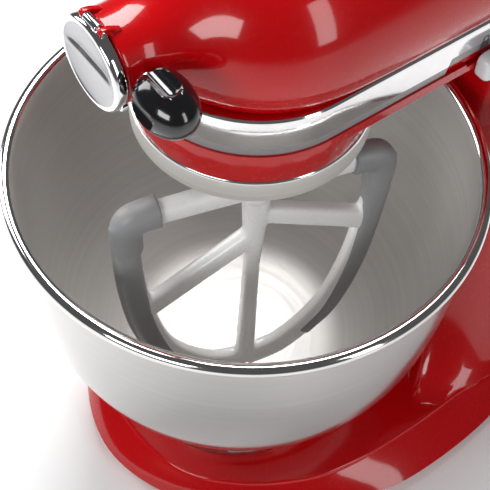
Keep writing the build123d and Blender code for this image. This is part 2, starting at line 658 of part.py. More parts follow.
with BuildPart() as hub_drive_gear:
    outer, inner = bevel_blank(HUB_BEVEL_R, CENTRE_BEVEL_R)
    journal = BOWL_Y - HUB_SEAT - 0.3
    with BuildSketch(Plane(origin=(0, BOWL_Y, HUB_Z), x_dir=(1, 0, 0), z_dir=(0, 0, 1))):
        with BuildLine():
            Polyline((0, -inner[1]), (inner[0], -inner[1]), (outer[0], -outer[1]), (outer[0], -outer[1] - 3),
                     (11.0, -outer[1] - 3), (11.0, -journal), (0, -journal), close=True)
        make_face()
    revolve(axis=Axis((0, BOWL_Y, HUB_Z), (0, 1, 0)))
    bevel_teeth(BEVEL_APEX, (0, -1, 0), (0, 0, -1), HUB_BEVEL_TEETH, CENTRE_BEVEL_TEETH,
                180 / HUB_BEVEL_TEETH)
    # Square socket that drives an attachment's shaft.
    socket_y = BOWL_Y - journal - 1
    block((-5.2, socket_y, HUB_Z - 5.2), (5.2, socket_y + 14, HUB_Z + 5.2), mode=Mode.SUBTRACT)
hub_drive_gear.part.label = "hub_drive_gear"
export_step(hub_drive_gear.part, "parts/hub_drive_gear.step")

# ---------------------------------------------------------------- planetary
CARRIER_LOW = 237.5
CARRIER_TOP = 249.2
DRIP_LOW = 236.0
DRIP_TOP = 248.6
SHAFT_R = 5.0
CENTRE_SHAFT_R = 6.0
BAYONET_Z = 223.0

with BuildPart() as ring_gear:
    with BuildSketch(upright(0, BOWL_Y, RING_Z)):
        Circle(43.0)
        with BuildLine():
            Polyline(*gear_points(RING_TEETH, MODULE, SHAFT_ANGLE, internal=True), close=True)
        make_face(mode=Mode.SUBTRACT)
    extrude(amount=RING_HEIGHT)
ring_gear.part.label = "ring_gear"
export_step(ring_gear.part, "parts/ring_gear.step")

with BuildPart() as planetary_carrier:
    turned([(CENTRE_SHAFT_R, CARRIER_LOW), (46.5, CARRIER_LOW), (46.5, 248.4), (42.6, 248.4),
            (42.6, CARRIER_TOP), (14.0, CARRIER_TOP), (14.0, 257.5), (CENTRE_SHAFT_R, 257.5)])
    disc(upright(AGITATOR_X, AGITATOR_Y, 230), 8.0, 40, mode=Mode.SUBTRACT)
planetary_carrier.part.label = "planetary_carrier"
export_step(planetary_carrier.part, "parts/planetary_carrier.step")

with BuildPart() as drip_ring:
    turned([(44.0, DRIP_LOW), (50.0, DRIP_LOW), (51.0, DRIP_LOW + 1), (51.0, DRIP_TOP), (46.5, DRIP_TOP),
            (46.5, CARRIER_LOW), (44.0, CARRIER_LOW)])
drip_ring.part.label = "drip_ring"
export_step(drip_ring.part, "parts/drip_ring.step")

with BuildPart() as agitator_bush:
    disc(upright(AGITATOR_X, AGITATOR_Y, CARRIER_LOW - 1.0), 8.0, CARRIER_TOP - CARRIER_LOW + 1.0,
         bore=SHAFT_R + RUN)
agitator_bush.part.label = "agitator_bush"
export_step(agitator_bush.part, "parts/agitator_bush.step")

with BuildPart() as centre_shaft:
    disc(upright(0, BOWL_Y, CARRIER_LOW), CENTRE_SHAFT_R, 295.0 - CARRIER_LOW)
centre_shaft.part.label = "centre_shaft"
export_step(centre_shaft.part, "parts/centre_shaft.step")

with BuildPart() as centre_bush:
    disc(upright(0, BOWL_Y, RING_Z + RING_HEIGHT + 0.5), 10.0, 8.0, bore=CENTRE_SHAFT_R + RUN)
centre_bush.part.label = "centre_bush"
export_step(centre_bush.part, "parts/centre_bush.step")

MESH_ANGLE = math.degrees(math.atan2(WORM_GEAR_Y - BOWL_Y, WORM_GEAR_X))
with BuildPart() as centre_gear:
    spur_gear(upright(0, BOWL_Y, SPUR_Z), CENTRE_TEETH, MESH_ANGLE, 8.0, CENTRE_SHAFT_R)
    disc(upright(0, BOWL_Y, 268.0), 12.0, 6.5, bore=CENTRE_SHAFT_R)
centre_gear.part.label = "centre_gear"
export_step(centre_gear.part, "parts/centre_gear.step")

with BuildPart() as centre_bevel_gear:
    outer, inner = bevel_blank(CENTRE_BEVEL_R, HUB_BEVEL_R)
    turned([(CENTRE_SHAFT_R, HUB_Z - inner[1]), (inner[0], HUB_Z - inner[1]), (outer[0], HUB_Z - outer[1]),
            (outer[0], HUB_Z - outer[1] - 1.5), (14, 282.2), (CENTRE_SHAFT_R, 282.2)])
    bevel_teeth(BEVEL_APEX, (0, 0, -1), (0, -1, 0), CENTRE_BEVEL_TEETH, HUB_BEVEL_TEETH, 0)
centre_bevel_gear.part.label = "centre_bevel_gear"
export_step(centre_bevel_gear.part, "parts/centre_bevel_gear.step")

# ---------------------------------------------------------------- agitator and beater
AGITATOR_LOW = 211.0
with BuildPart() as agitator_shaft:
    disc(upright(AGITATOR_X, AGITATOR_Y, AGITATOR_LOW), SHAFT_R, RING_Z + RING_HEIGHT - AGITATOR_LOW)
    with BuildSketch(facing_side(AGITATOR_X - 20, AGITATOR_Y, BAYONET_Z)):
        Circle(1.5)
    extrude(amount=40, mode=Mode.SUBTRACT)
agitator_shaft.part.label = "agitator_shaft"
export_step(agitator_shaft.part, "parts/agitator_shaft.step")

with BuildPart() as agitator_pinion:
    spur_gear(upright(AGITATOR_X, AGITATOR_Y, RING_Z + 0.2), AGITATOR_TEETH, SHAFT_ANGLE,
              RING_HEIGHT - 0.4, SHAFT_R)
agitator_pinion.part.label = "agitator_pinion"
export_step(agitator_pinion.part, "parts/agitator_pinion.step")

with BuildPart() as bayonet_pin:
    with BuildSketch(facing_side(AGITATOR_X - 9.5, AGITATOR_Y, BAYONET_Z)):
        Circle(1.5)
    extrude(amount=19)
bayonet_pin.part.label = "bayonet_pin"
export_step(bayonet_pin.part, "parts/bayonet_pin.step")

with BuildPart() as beater_spring_washer:
    disc(upright(AGITATOR_X, AGITATOR_Y, 234.2), 8.5, 1.0, bore=SHAFT_R)
beater_spring_washer.part.label = "beater_spring_washer"
export_step(beater_spring_washer.part, "parts/beater_spring_washer.step")

BEATER_PLANE = Plane(
    origin=(AGITATOR_X, AGITATOR_Y, RIM_Z),
    x_dir=(math.cos(math.radians(BEATER_ANGLE)), math.sin(math.radians(BEATER_ANGLE)), 0),
    z_dir=(math.sin(math.radians(BEATER_ANGLE)), -math.cos(math.radians(BEATER_ANGLE)), 0),
)
# Right half of the beater's outline: across the beater, and height above the bowl's rim.
BEATER_SIDE = [(62.5, 12), (60.5, -20), (56.5, -62), (45, -100), (23, -128), (0, -136)]
BEATER_THICK = 4.0
SOCKET_R = 9.0

with BuildPart() as beater_frame:
    with BuildSketch(BEATER_PLANE):
        with BuildLine():
            Polyline((-4, 20), (-30, 20), (-57, 18), (-62.5, 12))
            Spline(*[(-across, height) for across, height in BEATER_SIDE], tangents=[(0, -1), (1, 0)])
            Spline(*BEATER_SIDE[::-1], tangents=[(1, 0), (0, 1)])
            Polyline((62.5, 12), (57, 18), (30, 20), (4, 20), (-4, 20))
        make_face()
        # Openings between the outer frame, the stem and the two staggered bars.
        with BuildLine():
            Polyline((6, 9), (53, 6), (51.0, -21), (6, -1.5), close=True)
        make_face(mode=Mode.SUBTRACT)
        with BuildLine():
            Polyline((4, -12), (49.5, -33.5), (44.5, -62), (37, -92), (4, -112), close=True)
        make_face(mode=Mode.SUBTRACT)
        with BuildLine():
            Polyline((-6, 9), (-53, 6), (-50.5, -22), (-48.5, -48), (-6, -18), close=True)
        make_face(mode=Mode.SUBTRACT)
        with BuildLine():
            Polyline((-4, -28), (-47, -59), (-42, -78), (-36, -92), (-4, -112), close=True)
        make_face(mode=Mode.SUBTRACT)
    extrude(amount=BEATER_THICK, both=True)
    disc(upright(AGITATOR_X, AGITATOR_Y, AGITATOR_LOW - 2.5), SOCKET_R, 234.0 - AGITATOR_LOW + 2.5)
    disc(upright(AGITATOR_X, AGITATOR_Y, AGITATOR_LOW - 0.5), SHAFT_R + 0.1, 60.0, mode=Mode.SUBTRACT)
    with BuildSketch(facing_side(AGITATOR_X - 20, AGITATOR_Y, BAYONET_Z)):
        Circle(1.6)
    extrude(amount=40, mode=Mode.SUBTRACT)
beater_frame.part.label = "beater_frame"
export_step(beater_frame.part, "parts/beater_frame.step")

with BuildPart() as flex_edges:
    for side in (-1, 1):
        outer_side = [(65.6, 10), (63.6, -20), (59.6, -62), (47.8, -101), (30, -124)]
        inner_side = [(30, -124), (45, -100), (56.5, -62), (60.5, -20), (62.5, 8)]
        with BuildSketch(BEATER_PLANE):
            with BuildLine():
                Spline(*[(side * across, height) for across, height in outer_side])
                Spline(*[(side * across, height) for across, height in inner_side])
                Line((side * 62.5, 8), (side * 65.6, 10))
            make_face()
        extrude(amount=2.5, both=True)
        # Sleeve over the shoulder.
        with BuildSketch(BEATER_PLANE):
            with BuildLine():
                Polyline((side * 46, 22.5), (side * 57.5, 21), (side * 65.5, 14), (side * 65.5, -4),
                         (side * 57, -4), (side * 54, 5), (side * 46, 6), close=True)
            make_face()
        extrude(amount=6.0, both=True)
    add(beater_frame.part, mode=Mode.SUBTRACT)
flex_edges.part.label = "flex_edges"
export_step(flex_edges.part, "parts/flex_edges.step")

# ---------------------------------------------------------------- worm drive
with BuildPart() as worm_gear_pin:
    disc(upright(WORM_GEAR_X, WORM_GEAR_Y, HEAD_BOTTOM + 2), 3.0, 53.0)
worm_gear_pin.part.label = "worm_gear_pin"
export_step(worm_gear_pin.part, "parts/worm_gear_pin.step")

with BuildPart() as drive_pinion:
    spur_gear(upright(WORM_GEAR_X, WORM_GEAR_Y, SPUR_Z), PINION_TEETH, MESH_ANGLE + 180 + 180 / PINION_TEETH,
              8.0, 3.0 + RUN)
    disc(upright(WORM_GEAR_X, WORM_GEAR_Y, 282.0), 6.0, 18.0, bore=3.0 + RUN)
drive_pinion.part.label = "drive_pinion"
export_step(drive_pinion.part, "parts/drive_pinion.step")

WORM_GEAR_HALF = 2.5
with BuildPart() as worm_gear:
    spur_gear(upright(WORM_GEAR_X, WORM_GEAR_Y, MOTOR_Z - WORM_GEAR_HALF), WORM_TEETH, 0,
              2 * WORM_GEAR_HALF, 3.0 + RUN)
    disc(upright(WORM_GEAR_X, WORM_GEAR_Y, 300.0), 9.0, MOTOR_Z - 300.0, bore=3.0 + RUN)
worm_gear.part.label = "worm_gear"
export_step(worm_gear.part, "parts/worm_gear.step")

# ---------------------------------------------------------------- motor
WORM_PITCH = math.pi * MODULE
WORM_START = WORM_GEAR_Y - 2.5 * WORM_PITCH
ARMATURE_REAR = 149.0

with BuildPart() as armature_shaft:
    with BuildSketch(facing_back(0, WORM_START - 2.0, MOTOR_Z)):
        Circle(4.5)
    extrude(amount=30.0)
    with BuildSketch(facing_back(0, WORM_START + 27.0, MOTOR_Z)):
        Circle(5.0)
    extrude(amount=ARMATURE_REAR - WORM_START - 27.0)
    path = facing_back(0, WORM_START, MOTOR_Z) * Helix(pitch=WORM_PITCH, height=5 * WORM_PITCH, radius=4.4)
    section = Plane(origin=path @ 0, x_dir=(-1, 0, 0), z_dir=path % 0)
    with BuildSketch(section):
        with BuildLine():
            Polyline((0, -1.05), (2.55, -0.42), (2.55, 0.42), (0, 1.05), close=True)
        make_face()
    sweep(path=path, is_frenet=True)
armature_shaft.part.label = "armature_shaft"
export_step(armature_shaft.part, "parts/armature_shaft.step")

with BuildPart() as armature_core:
    with BuildSketch(facing_back(0, 62.0, MOTOR_Z)):
        Circle(22.5)
        with PolarLocations(22.0, 12):
            Rectangle(8.0, 2.4, mode=Mode.SUBTRACT)
        Circle(5.0, mode=Mode.SUBTRACT)
    extrude(amount=46.0)
    with BuildSketch(facing_back(0, 54.0, MOTOR_Z)):
        Circle(17.0)
        Circle(5.0, mode=Mode.SUBTRACT)
    extrude(amount=62.0)
armature_core.part.label = "armature_core"
export_step(armature_core.part, "parts/armature_core.step")

with BuildPart() as commutator:
    with BuildSketch(facing_back(0, 121.0, MOTOR_Z)):
        Circle(12.0)
        with PolarLocations(12.0, 24):
            Rectangle(2.0, 0.6, mode=Mode.SUBTRACT)
        Circle(5.0, mode=Mode.SUBTRACT)
    extrude(amount=16.0)
commutator.part.label = "commutator"
export_step(commutator.part, "parts/commutator.step")

with BuildPart() as cooling_fan:
    with BuildSketch(facing_back(0, 30.0, MOTOR_Z)):
        Circle(32.0)
        Circle(5.0, mode=Mode.SUBTRACT)
    extrude(amount=2.0)
    with BuildSketch(facing_back(0, 32.0, MOTOR_Z)):
        Circle(9.0)
        Circle(5.0, mode=Mode.SUBTRACT)
    extrude(amount=9.0)
    with Locations(facing_back(0, 36.0, MOTOR_Z)):
        with PolarLocations(19.5, 11):
            Box(24.0, 1.2, 8.5)
cooling_fan.part.label = "cooling_fan"
export_step(cooling_fan.part, "parts/cooling_fan.step")

BEARING_STARTS = {8.0: 42.0, 140.0: 36.0}  # start of each bearing and its bracket's radius
with BuildPart() as motor_bearings:
    for start in BEARING_STARTS:
        with BuildSketch(facing_back(0, start, MOTOR_Z)):
            Circle(11.0)
            Circle(5.0 + RUN, mode=Mode.SUBTRACT)
        extrude(amount=7.0)
motor_bearings.part.label = "motor_bearings"
export_step(motor_bearings.part, "parts/motor_bearings.step")

with BuildPart() as bearing_brackets:
    for start, radius in BEARING_STARTS.items():
        with BuildSketch(facing_back(0, start, MOTOR_Z)):
            Circle(radius)
            with PolarLocations(27.0, 6):
                Circle(8.0, mode=Mode.SUBTRACT)
            Circle(11.0, mode=Mode.SUBTRACT)
        extrude(amount=7.0)
        block((-20, start, CASE_FLOOR), (20, start + 7, 274))
bearing_brackets.part.label = "bearing_brackets"
export_step(bearing_brackets.part, "parts/bearing_brackets.step")

with BuildPart() as motor_stator:
    block((-20, 66, CASE_FLOOR), (20, 104, 272))
    with BuildSketch(facing_back(0, 62.0, MOTOR_Z)):
        Circle(38.0)
    extrude(amount=46.0)
    with BuildSketch(facing_back(0, 60.0, MOTOR_Z)):
        Circle(32.0)
    extrude(amount=50.0, mode=Mode.SUBTRACT)
    # Two pole pieces, above and below the armature.
    with BuildSketch(facing_back(0, 62.0, MOTOR_Z)):
        with PolarLocations(28.5, 2, start_angle=90):
            Rectangle(9.0, 30.0)
        Circle(23.5, mode=Mode.SUBTRACT)
    extrude(amount=46.0)
motor_stator.part.label = "motor_stator"
export_step(motor_stator.part, "parts/motor_stator.step")

with BuildPart() as field_windings:
    for side in (-1, 1):
        with BuildSketch(upright(0, 85, MOTOR_Z + side * 28.5)):
            RectangleRounded(42.0, 60.0, 5.0)
            Rectangle(30.6, 46.6, mode=Mode.SUBTRACT)
        extrude(amount=3.4, both=True)
    with BuildSketch(facing_back(0, 50.0, MOTOR_Z)):
        Circle(60.0)
        Circle(31.8, mode=Mode.SUBTRACT)
    extrude(amount=70.0, mode=Mode.SUBTRACT)
field_windings.part.label = "field_windings"
export_step(field_windings.part, "parts/field_windings.step")

with BuildPart() as brush_holders:
    for side in (-1, 1):
        with BuildSketch(facing_side(side * 32.0, BRUSH_Y, MOTOR_Z)):
            Circle(6.0)
            Rectangle(7.0, 7.0, mode=Mode.SUBTRACT)
        extrude(amount=17.0, both=True)
brush_holders.part.label = "brush_holders"
export_step(brush_holders.part, "parts/brush_holders.step")

with BuildPart() as carbon_brushes:
    for side in (-1, 1):
        near, far = sorted((side * 12.1, side * 32.0))
        block((near, BRUSH_Y - 3.4, MOTOR_Z - 3.4), (far, BRUSH_Y + 3.4, MOTOR_Z + 3.4))
carbon_brushes.part.label = "carbon_brushes"
export_step(carbon_brushes.part, "parts/carbon_brushes.step")

with BuildPart() as brush_caps:
    for side in (-1, 1):
        with BuildSketch(facing_side(side * 51.7, BRUSH_Y, MOTOR_Z)):
            Circle(7.9)
        extrude(amount=2.4, both=True)
        with BuildSketch(facing_side(side * 54.1, BRUSH_Y, MOTOR_Z)):
            Rectangle(11.0, 1.6)
        extrude(amount=1.0, both=True, mode=Mode.SUBTRACT)
brush_caps.part.label = "brush_caps"
export_step(brush_caps.part, "parts/brush_caps.step")

with BuildPart() as speed_control_board:
    with BuildSketch(facing_back(0, 156.0, MOTOR_Z)):
        Circle(30.0)
        with Locations((0, -7.0)):
            Circle(8.5, mode=Mode.SUBTRACT)
    extrude(amount=2.0)
    with Locations((-16, 161, 312), (16, 161, 312)):
        Box(10, 6, 12)
speed_control_board.part.label = "speed_control_board"
export_step(speed_control_board.part, "parts/speed_control_board.step")

# ---------------------------------------------------------------- levers
with BuildPart() as lock_lever:
    block((51.0, LEVER_Y, 255), (58.0, LEVER_Y + 22, 267.5))
    fillet(lock_lever.edges().filter_by(Axis.Z).group_by(Axis.X)[-1], radius=3.0)
    fillet(lock_lever.faces().sort_by(Axis.X)[-1].edges(), radius=1.5)
    block((45.0, LEVER_Y + 6, ARM_LOW), (51.5, LEVER_Y + 14, ARM_HIGH))
lock_lever.part.label = "lock_lever"
export_step(lock_lever.part, "parts/lock_lever.step")

with BuildPart() as lock_slide_bar:
    block((30.0, LEVER_Y + 6, ARM_LOW), (45.0, LEVER_Y + 14, ARM_HIGH))
    block((30.0, LEVER_Y + 14, ARM_LOW), (36.0, 88, ARM_HIGH))
    block((30.0, 84, 250), (36.0, 88, ARM_LOW))
    block((27.5, 83.5, 247), (38.5, 88.5, 250))
lock_slide_bar.part.label = "lock_slide_bar"
export_step(lock_slide_bar.part, "parts/lock_slide_bar.step")

with BuildPart() as speed_lever:
    block((-58.0, LEVER_Y, 255), (-51.0, LEVER_Y + 22, 267.5))
    fillet(speed_lever.edges().filter_by(Axis.Z).group_by(Axis.X)[0], radius=3.0)
    fillet(speed_lever.faces().sort_by(Axis.X)[0].edges(), radius=1.5)
    block((-51.5, LEVER_Y + 6, ARM_LOW), (-45.0, LEVER_Y + 14, ARM_HIGH))
speed_lever.part.label = "speed_lever"
export_step(speed_lever.part, "parts/speed_lever.step")

with BuildPart() as speed_link:
    block((-45.0, LEVER_Y + 6, ARM_LOW), (-32.0, LEVER_Y + 14, ARM_HIGH))
    block((-36.0, LEVER_Y + 14, ARM_LOW), (-32.0, 84, ARM_HIGH))
speed_link.part.label = "speed_link"
export_step(speed_link.part, "parts/speed_link.step")
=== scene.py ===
"""Finish of the tilt-head stand mixer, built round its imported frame.

Every length is in metres, in the frame's own axes: +Z up, -Y towards the attachment hub, +X towards the
head lock.
"""
import json
import logging
import math
from dataclasses import dataclass, field
from enum import Enum
from typing import Sequence

import bmesh
import bpy
import numpy as np
from mathutils import Matrix, Vector


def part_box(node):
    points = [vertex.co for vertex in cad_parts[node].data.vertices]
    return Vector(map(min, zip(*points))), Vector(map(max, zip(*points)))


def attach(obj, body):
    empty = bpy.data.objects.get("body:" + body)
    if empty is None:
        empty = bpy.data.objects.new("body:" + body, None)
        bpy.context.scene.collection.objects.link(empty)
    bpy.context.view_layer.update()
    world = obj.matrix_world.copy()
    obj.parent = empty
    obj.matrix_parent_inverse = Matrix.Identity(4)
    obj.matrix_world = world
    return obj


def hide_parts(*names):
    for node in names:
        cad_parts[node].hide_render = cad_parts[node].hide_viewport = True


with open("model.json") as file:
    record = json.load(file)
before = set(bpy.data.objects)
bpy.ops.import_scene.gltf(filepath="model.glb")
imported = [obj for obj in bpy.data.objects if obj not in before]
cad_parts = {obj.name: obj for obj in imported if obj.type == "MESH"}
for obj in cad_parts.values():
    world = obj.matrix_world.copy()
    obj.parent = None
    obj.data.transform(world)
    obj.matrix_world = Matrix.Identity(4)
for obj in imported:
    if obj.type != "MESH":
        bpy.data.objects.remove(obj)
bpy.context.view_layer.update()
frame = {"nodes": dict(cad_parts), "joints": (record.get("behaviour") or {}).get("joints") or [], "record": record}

MM = 0.001
LOG = logging.getLogger("stand_mixer")
Point = tuple[float, float, float]
Colour = tuple[float, float, float]


# ------------------------------------------------------------------ places read from the frame
class Body(Enum):
    """The moving bodies that pieces ride on."""

    BASE = "base"
    BOWL = "bowl"
    HEAD = "head"
    PLANETARY = "planetary"
    AGITATOR = "agitator"
    HUB_CAP = "hub_cap"
    KNOB = "attachment_knob"
    LOCK = "lock_lever"
    SPEED = "speed_lever"


@dataclass(frozen=True)
class Layout:
    """Heights and axes of the machine, worked out from the frame's boxes and joints."""

    bowl_y: float
    rim_z: float
    deck_z: float
    band_low: float
    band_high: float
    band_r: float
    drip_low: float
    drip_high: float
    drip_r: float
    hub_z: float
    hub_face: float
    cap_front: float
    head_top: float
    head_rear: float
    split_y: float
    hinge_y: float
    hinge_z: float
    column_top: float
    shaft: Point
    cap_pin_y: float
    cap_pin_z: float

    @classmethod
    def read(cls) -> "Layout":
        """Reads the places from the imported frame.

        Returns:
            The layout of this machine.
        """
        low_band, high_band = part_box("trim_band")
        low_drip, high_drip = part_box("drip_ring")
        low_house, high_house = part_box("upper_housing")
        low_cover, high_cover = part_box("rear_cover")
        low_bush, high_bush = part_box("hub_bush")
        low_shaft, high_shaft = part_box("agitator_shaft")
        joints = {joint["name"]: joint for joint in frame["joints"]}
        hinge = joints["head_tilt"]["pos_m"]
        cap_pin = joints["hub_cap_flip"]["pos_m"]
        return cls(
            bowl_y=(low_drip.y + high_drip.y) / 2,
            rim_z=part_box("bowl")[1].z,
            deck_z=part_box("bowl_clamp_plate")[0].z,
            band_low=low_band.z,
            band_high=high_band.z,
            band_r=(high_band.x - low_band.x) / 2,
            drip_low=low_drip.z,
            drip_high=high_drip.z,
            drip_r=(high_drip.x - low_drip.x) / 2,
            hub_z=(low_bush.z + high_bush.z) / 2,
            hub_face=low_house.y + 4.1 * MM,
            cap_front=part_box("hub_cap")[0].y,
            head_top=high_house.z,
            head_rear=high_cover.y,
            split_y=low_cover.y,
            hinge_y=hinge[1],
            hinge_z=hinge[2],
            column_top=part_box("base_casting")[1].z,
            shaft=((low_shaft.x + high_shaft.x) / 2, (low_shaft.y + high_shaft.y) / 2, low_shaft.z),
            cap_pin_y=cap_pin[1],
            cap_pin_z=cap_pin[2],
        )


# ------------------------------------------------------------------ finishes
class Coords(Enum):
    """Where a finish takes its pattern's coordinates from."""

    OBJECT = "Object"
    UV = "UV"


class Shader:
    """One material's node tree, with short calls for the few node kinds that the finishes use."""

    def __init__(self, name: str) -> None:
        """Starts a material with a Principled shader.

        Args:
            name: The material's name.
        """
        self.material = bpy.data.materials.new(name)
        self.material.use_nodes = True
        self.tree = self.material.node_tree
        self.surface = self.tree.nodes["Principled BSDF"]

    def set(self, **values: float | tuple[float, ...]) -> None:
        """Sets sockets of the Principled shader, with spaces in socket names written as underscores."""
        for key, value in values.items():
            self.surface.inputs[key.replace("_", " ")].default_value = value

    def node(self, kind: str, **settings: object) -> bpy.types.Node:
        """Adds a node and sets its properties.

        Args:
            kind: The node's type.
            settings: Properties to set on it.

        Returns:
            The node.
        """
        made = self.tree.nodes.new(kind)
        for key, value in settings.items():
            setattr(made, key, value)
        return made

    def link(self, source: bpy.types.NodeSocket, target: bpy.types.NodeSocket | str) -> None:
        """Links a socket to another, or to a named socket of the Principled shader."""
        self.tree.links.new(source, self.surface.inputs[target] if isinstance(target, str) else target)

    def coords(self, kind: Coords, scale: Point) -> bpy.types.NodeSocket:
        """Adds scaled pattern coordinates.

        Args:
            kind: Object coordinates or the mesh's own UV map.
            scale: Pattern repeats along each axis.

        Returns:
            The vector socket.
        """
        where = self.node("ShaderNodeTexCoord")
        mapping = self.node("ShaderNodeMapping")
        mapping.inputs["Scale"].default_value = scale
        self.link(where.outputs[kind.value], mapping.inputs["Vector"])
        return mapping.outputs["Vector"]

    def noise(self, vector: bpy.types.NodeSocket, scale: float, detail: float = 3.0) -> bpy.types.NodeSocket:
        """Adds a noise pattern.

        Args:
            vector: The coordinates to read.
            scale: Features per unit.
            detail: Octaves of finer noise.

        Returns:
            The noise value's socket.
        """
        made = self.node("ShaderNodeTexNoise")
        made.inputs["Scale"].default_value = scale
        made.inputs["Detail"].default_value = detail
        self.link(vector, made.inputs["Vector"])
        return made.outputs["Fac"]

    def spread(self, value: bpy.types.NodeSocket, low: float, high: float) -> bpy.types.NodeSocket:
        """Stretches a noise value, mostly 0.3 to 0.7, over a range.

        Args:
            value: The noise socket.
            low: Result at 0.3.
            high: Result at 0.7.

        Returns:
            The stretched value's socket.
        """
        made = self.node("ShaderNodeMapRange")
        made.inputs["From Min"].default_value = 0.3
        made.inputs["From Max"].default_value = 0.7
        made.inputs["To Min"].default_value = low
        made.inputs["To Max"].default_value = high
        self.link(value, made.inputs["Value"])
        return made.outputs["Result"]

    def tint(self, value: bpy.types.NodeSocket, dark: Colour, light: Colour) -> None:
        """Runs the base colour between two shades by a noise value.

        Args:
            value: The noise socket.
            dark: Shade at 0.3.
            light: Shade at 0.7.
        """
        ramp = self.node("ShaderNodeValToRGB")
        ramp.color_ramp.elements[0].position = 0.3
        ramp.color_ramp.elements[0].color = (*dark, 1.0)
        ramp.color_ramp.elements[1].position = 0.7
        ramp.color_ramp.elements[1].color = (*light, 1.0)
        self.link(value, ramp.inputs["Fac"])
        self.link(ramp.outputs["Color"], "Base Color")

    def bump(self, value: bpy.types.NodeSocket, depth: float, strength: float = 1.0) -> None:
        """Raises the surface by a pattern.

        Args:
            value: The height pattern.
            depth: Height of the pattern in metres.
            strength: How much of it shows.
        """
        made = self.node("ShaderNodeBump")
        made.inputs["Strength"].default_value = strength
        made.inputs["Distance"].default_value = depth
        self.link(value, made.inputs["Height"])
        self.link(made.outputs["Normal"], "Normal")


@dataclass(frozen=True)
class Enamel:
    """Glossy powder-coated enamel: a deep colour under a clear coat, with a faint orange peel."""

    name: str
    dark: Colour
    light: Colour
    roughness: float = 0.24
    coat: float = 0.75

    def build(self) -> bpy.types.Material:
        """Makes the material.

        Returns:
            The material.
        """
        shader = Shader(self.name)
        shader.set(Metallic=0.0, Coat_Weight=self.coat, Coat_Roughness=0.07, IOR=1.5, Specular_IOR_Level=0.1)
        broad = shader.noise(shader.coords(Coords.OBJECT, (1, 1, 1)), 16.0)
        shader.tint(broad, self.dark, self.light)
        fine = shader.noise(shader.coords(Coords.OBJECT, (1, 1, 1)), 420.0, 2.0)
        shader.link(shader.spread(fine, self.roughness - 0.03, self.roughness + 0.05), "Roughness")
        shader.bump(fine, 0.00002, 0.05)
        return shader.material


@dataclass(frozen=True)
class BrushedMetal:
    """Metal with fine parallel scratches that run along the mesh's U direction."""

    name: str
    dark: Colour
    light: Colour
    roughness: float
    grain: Point = (3.0, 900.0, 1.0)
    groove: float = 0.00003
    strength: float = 0.25
    anisotropy: float = 0.6
    metallic: float = 1.0

    def build(self) -> bpy.types.Material:
        """Makes the material.

        Returns:
            The material.
        """
        shader = Shader(self.name)
        shader.set(Metallic=self.metallic, Anisotropic=self.anisotropy)
        streaks = shader.noise(shader.coords(Coords.UV, self.grain), 1.0, 4.0)
        cloud = shader.noise(shader.coords(Coords.OBJECT, (1, 1, 1)), 22.0)
        shader.tint(streaks, self.dark, self.light)
        mixed = shader.node("ShaderNodeMath", operation="ADD")
        shader.link(shader.spread(streaks, self.roughness - 0.05, self.roughness + 0.06), mixed.inputs[0])
        shader.link(shader.spread(cloud, -0.02, 0.02), mixed.inputs[1])
        shader.link(mixed.outputs["Value"], "Roughness")
        shader.bump(streaks, self.groove, self.strength)
        return shader.material


@dataclass(frozen=True)
class PlainMetal:
    """Plated, cast or machined metal with a mottled sheen."""

    name: str
    dark: Colour
    light: Colour
    roughness: float
    grain: float = 240.0
    pit: float = 0.00003

    def build(self) -> bpy.types.Material:
        """Makes the material.

        Returns:
            The material.
        """
        shader = Shader(self.name)
        shader.set(Metallic=1.0)
        mottle = shader.noise(shader.coords(Coords.OBJECT, (1, 1, 1)), self.grain, 5.0)
        shader.tint(mottle, self.dark, self.light)
        low = max(self.roughness * 0.8, 0.01)
        shader.link(shader.spread(mottle, low, self.roughness * 1.25), "Roughness")
        shader.bump(mottle, self.pit, 0.3)
        return shader.material


@dataclass(frozen=True)
class Moulding:
    """Moulded plastic, rubber, silicone or a baked coating, with a fine moulded skin."""

    name: str
    dark: Colour
    light: Colour
    roughness: float
    coat: float = 0.0
    grain: float = 700.0
    skin: float = 0.00004

    def build(self) -> bpy.types.Material:
        """Makes the material.

        Returns:
            The material.
        """
        shader = Shader(self.name)
        shader.set(Metallic=0.0, Coat_Weight=self.coat, Coat_Roughness=0.05)
        mottle = shader.noise(shader.coords(Coords.OBJECT, (1, 1, 1)), self.grain, 3.0)
        cloud = shader.noise(shader.coords(Coords.OBJECT, (1, 1, 1)), 30.0)
        shader.tint(cloud, self.dark, self.light)
        shader.link(shader.spread(mottle, self.roughness * 0.85, self.roughness * 1.2), "Roughness")
        shader.bump(mottle, self.skin, 0.2)
        return shader.material


RED = Enamel("red_enamel", (0.43, 0.0008, 0.0022), (0.49, 0.0012, 0.0032))
BAND_STEEL = BrushedMetal(
    "band_steel", (0.34, 0.34, 0.35), (0.42, 0.42, 0.43), 0.5, strength=0.2, anisotropy=0.3,
    metallic=0.7)
# The band's lower bevel is the same steel as its face, made darker: painted shade on the downward-facing bevel.
BAND_BEVEL_PAINTED_SHADE = BrushedMetal(
    "band_bevel", (0.20, 0.20, 0.21), (0.27, 0.27, 0.28), 0.42, strength=0.2, anisotropy=0.3,
    metallic=0.7)
# Polished upper edge of the band and of the drip ring; its near-white colour is a painted highlight.
BRIGHT_EDGE_PAINTED_HIGHLIGHT = PlainMetal(
    "bright_edge", (0.84, 0.84, 0.85), (0.9, 0.9, 0.905), 0.09, 120.0, 0.00001)
# The drip ring's light warm beige is a painted reflection of batter on plain steel.
DRIP_STEEL_PAINTED_REFLECTION = BrushedMetal(
    "drip_ring_steel", (0.72, 0.70, 0.67), (0.80, 0.78, 0.75), 0.45, (2.0, 700.0, 1.0),
    strength=0.15, anisotropy=0.2, metallic=0.6)
BOWL_OUTSIDE = BrushedMetal(
    "bowl_steel_outside", (0.50, 0.49, 0.48), (0.55, 0.54, 0.53), 0.16, (1.5, 420.0, 1.0),
    groove=0.00001, strength=0.08, anisotropy=0.2)
